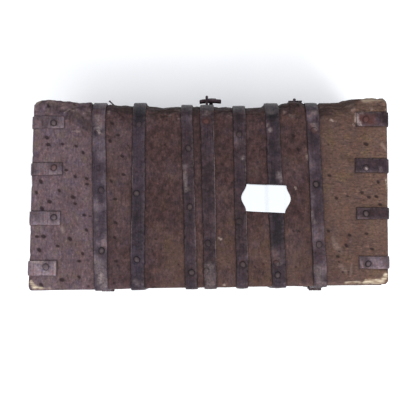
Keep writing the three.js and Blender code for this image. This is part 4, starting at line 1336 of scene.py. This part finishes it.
def end_strap(node, tab, side, body, material, seed):
    """A short strap over an end: side is +1 at the +X end, and lid straps keep the photographed tab."""
    _, _, width = tab_line(tab)
    _, up, _ = FLAT_FACES[body]
    centres, normals = end_strap_path(tab, side, body)
    shape = Shape()
    band(shape, centres, normals, np.array([0, 1.0, 0]), np.full(len(centres), width), seed)
    if side * up > 0:
        shape.faces = flipped(shape.faces)
    end_strap_rivets(shape, tab, side, body, seed)
    crust = stroked(shape.points, CRUST_STROKES, TOP_OF_STRAPS)
    glints = stroked(shape.points, TAB_GLINTS, TOP_OF_STRAPS, broken=0.15, seed=44)
    # Crust, and the glints, which are painted highlights
    shape.values["scuff"] = np.maximum(crust, glints)
    shape.values["rust"] = stroked(shape.points, RUST_STROKES, TOP_OF_STRAPS)
    tone, cool = TAB_SHADES[side][int(node[-1]) - 1]
    shape.values["tone"] = tone + 0.3 * rough(shape.points, *TAB_TONE_NOISE)
    shape.values["cool"] = np.full(len(shape.points), cool)
    if body == "lid":
        shape.points = skewed(shape.points)
    piece = shape.make("forged_" + node, body, material)
    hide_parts(node)


# Small ironwork: a finer, uneven version of the solid

SOFTENING_SHARE = 0.5
SOFTENING_ROUNDS = 2
BUMP_HEIGHT = 0.04 * MM
BUMP_NOISE = (2.2 * MM, 3, 61)
PIT_NOISE = (1.1 * MM, 62)
PIT_RANGE = (0.4, 0.8)
WEAR_RANGE = (0.05, 0.5)
SMALL_TONE_NOISE = (6 * MM, 3, 63)
SHORTEST_EDGE = 1e-6 * MM


def softened(node, voxel):
    """A mesh of a solid with small, even faces and softened edges."""
    source = bpy.data.objects[node]
    piece = bpy.data.objects.new("soft_" + node, source.data.copy())
    bpy.context.collection.objects.link(piece)
    piece.matrix_world = source.matrix_world.copy()
    remesh = piece.modifiers.new("even", "REMESH")
    remesh.mode = "VOXEL"
    remesh.voxel_size = voxel
    smooth = piece.modifiers.new("soft", "SMOOTH")
    smooth.factor = SOFTENING_SHARE
    smooth.iterations = SOFTENING_ROUNDS
    graph = bpy.context.evaluated_depsgraph_get()
    fine = bpy.data.meshes.new_from_object(piece.evaluated_get(graph))
    bpy.data.objects.remove(piece)
    return fine


def vectors_of(mesh, key):
    """The place or the normal of every point of a mesh."""
    numbers = np.zeros(len(mesh.vertices) * 3)
    mesh.vertices.foreach_get(key, numbers)
    return numbers.reshape(-1, 3)


def weathered(node, body, material, voxel, swell, droop, tone, cool):
    """A worn copy of a solid, swollen a little, with softened edges, pits and drooping ends."""
    fine = softened(node, voxel)
    points, normals = vectors_of(fine, "co"), vectors_of(fine, "normal")
    middle = (points[:, 0].min() + points[:, 0].max()) / 2
    half = points[:, 0].max() - middle
    points[:, 1] += droop * ((points[:, 0] - middle) / half) ** 2
    bumps = rough(points, *BUMP_NOISE) - 1.2 * ramp(noise(points, *PIT_NOISE), *PIT_RANGE)
    points = points + normals * (swell + bumps * BUMP_HEIGHT)[:, None]
    wear = ramp(convexity(fine, points, normals), *WEAR_RANGE)
    faces = [tuple(polygon.vertices) for polygon in fine.polygons]
    tones = tone + 0.3 * rough(points, *SMALL_TONE_NOISE)
    values = {"wear": wear, "tone": tones, "cool": np.full(len(points), cool)}
    piece = make_mesh("worn_" + node, points, faces, body, material, values)
    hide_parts(node)


def convexity(mesh, points, normals):
    """How far each point stands proud of its neighbours, as a share of their distance."""
    edges = np.zeros(len(mesh.edges) * 2, dtype=np.int64)
    mesh.edges.foreach_get("vertices", edges)
    edges = edges.reshape(-1, 2)
    total = np.zeros(len(points))
    count = np.zeros(len(points))
    for first, last in (edges.T, edges.T[::-1]):
        gap = points[last] - points[first]
        length = np.maximum(np.linalg.norm(gap, axis=1), SHORTEST_EDGE)
        np.add.at(total, first, -np.sum(gap * normals[first], axis=1) / length)
        np.add.at(count, first, 1)
    return total / np.maximum(count, 1)


# Materials

# How strongly noise lightens and darkens a colour
MOTTLING_SHARE = 0.8


def srgb(red, green, blue):
    """A colour given as the photograph's 0 to 255 values."""
    shares = [value / 255 for value in (red, green, blue)]
    linear = [s / 12.92 if s <= 0.04045 else ((s + 0.055) / 1.055) ** 2.4 for s in shares]
    return (*linear, 1.0)


class Finish:
    """A material put together from a few kinds of node, with its sizes in millimetres."""

    def __init__(self, name):
        self.material = bpy.data.materials.new(name)
        self.material.use_nodes = True
        self.tree = self.material.node_tree
        self.shader = self.tree.nodes["Principled BSDF"]
        self.place = self.tree.nodes.new("ShaderNodeTexCoord").outputs["Object"]
        self.normal = None

    def put(self, socket, value):
        if isinstance(value, bpy.types.NodeSocket):
            self.tree.links.new(value, socket)
        else:
            socket.default_value = value

    def texture(self, kind, size, stretch, seed=0.0):
        """A texture of the given kind, whose features have the given size."""
        mapping = self.tree.nodes.new("ShaderNodeMapping")
        mapping.inputs["Location"].default_value = (seed, seed * 1.7, seed * 0.6)
        mapping.inputs["Scale"].default_value = [1 / (size * MM * axis) for axis in stretch]
        self.put(mapping.inputs["Vector"], self.place)
        texture = self.tree.nodes.new(kind)
        texture.inputs["Scale"].default_value = 1.0
        self.put(texture.inputs["Vector"], mapping.outputs["Vector"])
        return texture

    def noise(self, size, detail, harshness, stretch=(1, 1, 1), seed=0.0):
        texture = self.texture("ShaderNodeTexNoise", size, stretch, seed)
        texture.inputs["Detail"].default_value = detail
        texture.inputs["Roughness"].default_value = harshness
        return texture.outputs["Fac"]

    def cells(self, size, stretch):
        texture = self.texture("ShaderNodeTexVoronoi", size, stretch)
        texture.feature = "DISTANCE_TO_EDGE"
        return texture.outputs["Distance"]

    def carried(self, *names):
        """The values of the given names that the mesh carries."""
        outputs = []
        for name in names:
            attribute = self.tree.nodes.new("ShaderNodeAttribute")
            attribute.attribute_name = name
            outputs.append(attribute.outputs["Fac"])
        return outputs

    def ramp(self, value, low, high, start=0.0, end=1.0):
        node = self.tree.nodes.new("ShaderNodeMapRange")
        node.interpolation_type = "SMOOTHSTEP"
        for key, number in (("From Min", low), ("From Max", high), ("To Min", start), ("To Max", end)):
            node.inputs[key].default_value = number
        self.put(node.inputs["Value"], value)
        return node.outputs["Result"]

    def product(self, first, second):
        node = self.tree.nodes.new("ShaderNodeMath")
        node.operation = "MULTIPLY"
        self.put(node.inputs[0], first)
        self.put(node.inputs[1], second)
        return node.outputs["Value"]

    def mix(self, share, first, second):
        node = self.tree.nodes.new("ShaderNodeMix")
        node.data_type = "RGBA"
        self.put(node.inputs["Factor"], share)
        self.put(node.inputs["A"], first)
        self.put(node.inputs["B"], second)
        return node.outputs["Result"]

    def tinted(self, share, colour, factor):
        """The colour multiplied by a factor for red, green and blue where the share is high."""
        result = self.mix(self.product(share, MOTTLING_SHARE), colour, (*factor, 1.0))
        result.node.blend_type = "MULTIPLY"
        return result

    def mottled(self, colour, value, start, full, high_factor, low_factor):
        """The colour with one factor where the value is high and another where it is low."""
        colour = self.tinted(self.ramp(value, 0.5 + start, 0.5 + full), colour, high_factor)
        return self.tinted(self.ramp(value, 0.5 - start, 0.5 - full), colour, low_factor)

    def mixed_in(self, share, colour, amount, tint):
        """The colour with a tint laid over it where the share is high."""
        return self.mix(self.product(share, amount), colour, tint)

    def bump(self, height, distance, strength):
        node = self.tree.nodes.new("ShaderNodeBump")
        node.inputs["Strength"].default_value = strength
        node.inputs["Distance"].default_value = distance * MM
        self.put(node.inputs["Height"], height)
        if self.normal is not None:
            self.put(node.inputs["Normal"], self.normal)
        self.normal = node.outputs["Normal"]

    def finish(self, colour, roughness, **constants):
        self.put(self.shader.inputs["Base Color"], colour)
        self.put(self.shader.inputs["Roughness"], roughness)
        if self.normal is not None:
            self.put(self.shader.inputs["Normal"], self.normal)
        for key, number in constants.items():
            self.shader.inputs[key.replace("_", " ").title().replace("Ior", "IOR")].default_value = number
        return self.material


def leather_finish():
    made = Finish("worn_leather")
    mark, fade, warm, bare, scuff, dirt_and_shadow, rust = made.carried(
        "mark", "fade", "warm", "bare", "scuff", "grime", "rust")
    blotch = made.ramp(made.noise(3.4, 6, 0.66), 0.38, 0.64)
    tint = made.noise(5.5, 6, 0.66, seed=8)
    second = made.noise(7, 6, 0.66, seed=31)
    along = made.noise(0.9, 4, 0.6, stretch=(1, 3, 3), seed=3)
    across = made.noise(0.9, 4, 0.6, stretch=(3, 1, 1), seed=3)
    fibre = made.mix(made.ramp(warm, 0.3, 0.6), along, across)
    speck = made.noise(1.3, 4, 0.7, seed=5)
    colour = made.mix(blotch, srgb(43, 28, 28), srgb(62, 43, 43))
    colour = made.mixed_in(fade, colour, 0.9, srgb(84, 69, 74))
    colour = made.mixed_in(warm, colour, 0.9, srgb(84, 64, 55))
    colour = made.mottled(colour, tint, 0.02, 0.16, (1.12, 1.0, 0.92), (0.86, 0.92, 1.12))
    colour = made.mottled(colour, second, 0.03, 0.16, (1.08, 1.16, 0.9), (0.78, 0.72, 0.78))
    colour = made.mottled(colour, fibre, 0.02, 0.18, (1.5, 1.48, 1.46), (0.55, 0.52, 0.54))
    colour = made.mottled(colour, speck, 0.03, 0.16, (1.6, 1.56, 1.54), (0.5, 0.46, 0.48))
    broken = made.product(scuff, made.ramp(made.noise(0.8, 4, 0.65, seed=12), 0.3, 0.62, 0.3, 1.0))
    colour = made.mixed_in(rust, colour, 0.5, srgb(104, 62, 52))
    colour = made.mixed_in(broken, colour, 0.85, srgb(168, 148, 140))
    # Dirt and painted shade: the dirty front, the shaded front edge and creases, the dark lines beside
    # straps, tabs and lock plate, and the chest's darker foot
    colour = made.mixed_in(dirt_and_shadow, colour, 0.8, srgb(20, 12, 12))
    colour = made.mixed_in(made.ramp(mark, 0.12, 0.65), colour, 0.85, srgb(26, 13, 15))
    grain = made.ramp(made.noise(0.9, 5, 0.6, stretch=(8, 1, 1), seed=11), 0.3, 0.7)
    bare_wood = made.mix(grain, srgb(110, 88, 70), srgb(204, 190, 168))
    colour = made.mix(bare, colour, bare_wood)
    roughness = made.ramp(speck, 0.3, 0.7, 0.6, 0.8)
    made.bump(made.cells(0.9, (1.6, 1, 1)), 0.08, 0.5)
    made.bump(tint, 0.3, 0.6)
    made.bump(fibre, 0.1, 0.6)
    made.bump(speck, 0.07, 0.6)
    return made.finish(colour, roughness, specular_ior_level=0.15)


def iron_finish(name, polish, lift):
    """Forged iron with a dark patina, lightened by lift, and with painted highlights, sheen and shadow in its
    colour.
    """
    made = Finish(name)
    wear, ring, head, tone, cool, scuff, roll, rust = made.carried(
        "wear", "ring", "head", "tone", "cool", "scuff", "roll", "rust")
    cloud = made.ramp(made.noise(4.5, 6, 0.62, seed=2), 0.36, 0.66)
    tint = made.noise(2.3, 5, 0.62, seed=6)
    streak = made.noise(0.6, 4, 0.6, stretch=(1, 14, 14), seed=3)
    speck = made.noise(1.2, 5, 0.7, seed=4)
    colour = made.mix(cloud, srgb(37 + lift, 25 + lift, 27 + lift), srgb(56 + lift, 41 + lift, 44 + lift))
    colour = made.mixed_in(cool, colour, 0.6, srgb(52 + lift, 45 + lift, 57 + lift))
    colour = made.mixed_in(made.ramp(tone, 0.0, 1.0), colour, 0.9, srgb(112, 98, 104))
    colour = made.mixed_in(made.ramp(tone, 0.0, -1.0), colour, 0.85, srgb(18, 15, 19))
    # Painted sheen: the grey that the straps' roll over the lid's front edge catches
    colour = made.mixed_in(roll, colour, 0.6, srgb(52, 50, 52))
    colour = made.mottled(colour, tint, 0.03, 0.18, (1.25, 0.95, 0.9), (0.85, 0.92, 1.15))
    colour = made.mottled(colour, streak, 0.02, 0.18, (1.4, 1.38, 1.38), (0.6, 0.56, 0.58))
    colour = made.mottled(colour, speck, 0.03, 0.16, (1.5, 1.44, 1.46), (0.55, 0.5, 0.52))
    # Pale edges: wear, with painted highlights on the straps' lit side and on the rivet crowns
    edge = made.product(wear, made.ramp(made.noise(1.8, 4, 0.6, seed=9), 0.38, 0.62))
    colour = made.mixed_in(edge, colour, 0.18, srgb(124, 110, 110))
    colour = made.mixed_in(head, colour, 0.35, srgb(46, 33, 34))
    # Wear and a painted highlight on the rivet crowns
    colour = made.mixed_in(made.product(head, wear), colour, 0.3, srgb(92, 80, 78))
    colour = made.mixed_in(rust, colour, 0.6, srgb(98, 56, 48))
    # Pale scuffs, and painted highlights: the pale edge lines and the glints on the tabs
    broken = made.product(scuff, made.ramp(made.noise(0.8, 4, 0.65, seed=12), 0.32, 0.62, 0.25, 1.0))
    colour = made.mixed_in(broken, colour, 0.85, srgb(156, 140, 138))
    # Dirt and painted shadow round the rivets
    colour = made.mixed_in(ring, colour, 0.85, srgb(12, 7, 8))
    roughness = made.ramp(speck, 0.3, 0.7, polish + 0.14, polish - 0.06)
    made.bump(made.noise(2.2, 5, 0.6, seed=14), 0.25, 0.7)
    made.bump(speck, 0.08, 0.8)
    return made.finish(colour, roughness, metallic=0.5, specular_ior_level=0.25)


def wood_finish(name, along):
    """Old bare wood with its grain along X, at 0, or along Y, at 1."""
    made = Finish(name)
    grain, growth = [1, 1, 1], [1, 1, 1]
    grain[along], growth[along] = 14, 9
    fibre = made.noise(1.3, 6, 0.62, stretch=grain, seed=1)
    band_of_growth = made.noise(5, 3, 0.5, stretch=growth, seed=4)
    colour = made.mix(made.ramp(band_of_growth, 0.35, 0.65), srgb(122, 90, 60), srgb(160, 125, 88))
    colour = made.mixed_in(made.ramp(fibre, 0.48, 0.3), colour, 0.6, srgb(74, 50, 34))
    colour = made.mixed_in(made.ramp(made.noise(14, 5, 0.6, seed=7), 0.5, 0.7), colour, 0.4, srgb(84, 64, 50))
    made.bump(fibre, 0.25, 0.8)
    return made.finish(colour, made.ramp(fibre, 0.3, 0.7, 0.86, 0.66), specular_ior_level=0.3)


def paper_finish():
    made = Finish("blank_paper")
    fibre = made.noise(0.5, 4, 0.6)
    colour = made.mix(made.ramp(fibre, 0.35, 0.7), srgb(195, 198, 202), srgb(204, 207, 210))
    made.bump(fibre, 0.03, 0.4)
    return made.finish(colour, made.ramp(fibre, 0.3, 0.7, 0.5, 0.62))


def floor_finish():
    made = Finish("pale_floor")
    cloud = made.ramp(made.noise(60, 3, 0.5), 0.3, 0.7)
    colour = made.mix(cloud, (0.95, 0.955, 0.97, 1), (0.97, 0.975, 0.985, 1))
    return made.finish(colour, 0.6, specular_ior_level=0.1)


# The blank paper label

LABEL_CORNERS = [(246.5, 184), (286.5, 185.5), (285, 213), (246, 211)]
LABEL_BULGE_PIXELS = 5
LABEL_ROWS = 22
LABEL_COLUMNS = 34
LABEL_STRAPS = (4, 5)
LABEL_GAP = 0.35 * MM
LABEL_SINK = 0.15 * MM
LABEL_SAG = (3.4 * MM, 6.5 * MM)
LABEL_WAVE = 0.12 * MM
LABEL_NOISE = (9 * MM, 71)
LABEL_THICKNESS = 0.18 * MM


def label_height(x):
    """The label's underside: over the straps that it crosses, and sagging between them."""
    over = 0
    for index in LABEL_STRAPS:
        middle, _ = strap_line(index)
        over = max(over, 1 - ramp(abs(x - middle(0)), *LABEL_SAG))
    return LID_TOP + LABEL_GAP + over * (STRAP_GAP + STRAP_THICKNESS - LABEL_SINK)


def label_points():
    """Points over the label's underside, row by row, with its two ends bulging outwards."""
    corners = [np.array(pixel) for pixel in LABEL_CORNERS]
    points = []
    for row in range(LABEL_ROWS + 1):
        down = row / LABEL_ROWS
        start = corners[0] * (1 - down) + corners[3] * down
        end = corners[1] * (1 - down) + corners[2] * down
        bulge = LABEL_BULGE_PIXELS * math.sin(math.pi * down) ** 2
        for column in range(LABEL_COLUMNS + 1):
            along = column / LABEL_COLUMNS
            pixel = start * (1 - along) + end * along
            pixel = pixel + np.array([bulge * (2 * along - 1), 0])
            place = on_level(*pixel, TOP_OF_STRAPS)
            place[2] = label_height(place[0])
            place[2] += LABEL_WAVE * noise(place[None, :], *LABEL_NOISE)[0]
            points.append(place)
    return points


def paper_label(material):
    points = label_points()
    count = len(points)
    lifted = [point + np.array([0, 0, LABEL_THICKNESS]) for point in points]
    faces = loop_faces(LABEL_ROWS + 1, LABEL_COLUMNS + 1)
    grid = np.arange(count).reshape(LABEL_ROWS + 1, LABEL_COLUMNS + 1)
    stretches = (grid[0], grid[1:, -1], grid[-1, -2::-1], grid[-2:0:-1, 0])
    rim = [int(index) for stretch in stretches for index in stretch]
    sides = [(a, b, count + b, count + a) for a, b in zip(rim, rim[1:] + rim[:1])]
    faces = flipped(faces) + shifted(faces, count) + sides
    make_mesh("blank_label", points + lifted, faces, "lid", material)


# Floor and light

FLOOR_REACH = 3000 * MM
SKY_COLOUR = (0.95, 0.97, 1.0, 1.0)

# Soft square lamps that shine towards the origin: name, place, width and power
LAMPS = [
    ("soft_key", (-400 * MM, 1000 * MM, 1150 * MM), 800 * MM, 16.0),
    ("soft_top", (100 * MM, 400 * MM, 1500 * MM), 700 * MM, 6.0),
]


def make_floor(material):
    corners = [(FLOOR_REACH * x, FLOOR_REACH * y, 0) for x, y in ((-1, -1), (1, -1), (1, 1), (-1, 1))]
    mesh = bpy.data.meshes.new("floor")
    mesh.from_pydata(corners, [], [(0, 1, 2, 3)])
    mesh.materials.append(material)
    floor = bpy.data.objects.new("floor", mesh)
    bpy.context.collection.objects.link(floor)


def make_light():
    world = bpy.data.worlds.new("white_room")
    bpy.context.scene.world = world
    world.use_nodes = True
    background = world.node_tree.nodes["Background"]
    background.inputs["Color"].default_value = SKY_COLOUR
    background.inputs["Strength"].default_value = 1.0
    for name, place, width, power in LAMPS:
        data = bpy.data.lights.new(name, "AREA")
        data.shape = "SQUARE"
        data.size = width
        data.energy = power
        lamp = bpy.data.objects.new(name, data)
        bpy.context.collection.objects.link(lamp)
        lamp.location = place
        lamp.rotation_euler = (-Vector(place)).to_track_quat("-Z", "Y").to_euler()
    bpy.context.scene.view_settings.view_transform = "Standard"


# The whole casket

# Node, body, size of the faces, swelling, droop of the ends, tone and coolness
SMALL_IRON = [
    ("hasp", "hasp", 0.22 * MM, 0.12 * MM, 0.5 * MM, 0.0, 0.3),
    ("hasp_staple", "lid", 0.14 * MM, 0.05 * MM, 0, -0.1, 0.2),
    ("small_staple", "lid", 0.14 * MM, 0.05 * MM, 0, -0.1, 0.2),
    ("small_staple_rove", "lid", 0.16 * MM, 0, 0, 0.1, 0.5),
    ("bent_wire", "lid", 0.1 * MM, 0.05 * MM, 0, 0.0, 0.3),
    ("lock_plate", "chest", 0.25 * MM, 0, 0, 0.15, 0.9),
]


def make_end_straps(material):
    for number in range(len(LEFT_TABS)):
        for side_name, side in (("left", -1), ("right", 1)):
            for body in ("lid", "chest"):
                node = "%s_%s_end_strap_%d" % (body, side_name, number + 1)
                seed = number * 4 + END_STRAP_SEED + side
                end_strap(node, TABS[side][number], side, body, material, seed)


def finish_plain_nodes(wood, end_wood, iron):
    """Gives a material to every solid of the frame that nothing stands in for."""
    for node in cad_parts:
        name = node if isinstance(node, str) else node["name"]
        solid = bpy.data.objects.get(name)
        if solid is None or solid.hide_render:
            continue
        finish = iron
        if "board" in name or "rail" in name:
            finish = end_wood if "right" in name or "left" in name else wood
        for slot in solid.material_slots:
            slot.material = finish


leather = leather_finish()
iron = iron_finish("forged_iron", 0.5, 0)
bright_iron = iron_finish("rubbed_iron", 0.38, 34)
wood = wood_finish("old_wood", 0)
end_wood = wood_finish("old_end_wood", 1)

lid_leather(leather)
chest_leather(leather)
for board in ("lid_board", "lid_front_rail"):
    fitted_board(board, wood)
for number in range(len(STRAP_EDGES)):
    lid_strap(number, iron)
    chest_strap(number, iron)
make_end_straps(iron)
for node, body, voxel, swell, droop, tone, cool in SMALL_IRON:
    weathered(node, body, iron, voxel, swell, droop, tone, cool)
paper_label(paper_finish())
finish_plain_nodes(wood, end_wood, bright_iron)
make_floor(floor_finish())
make_light()
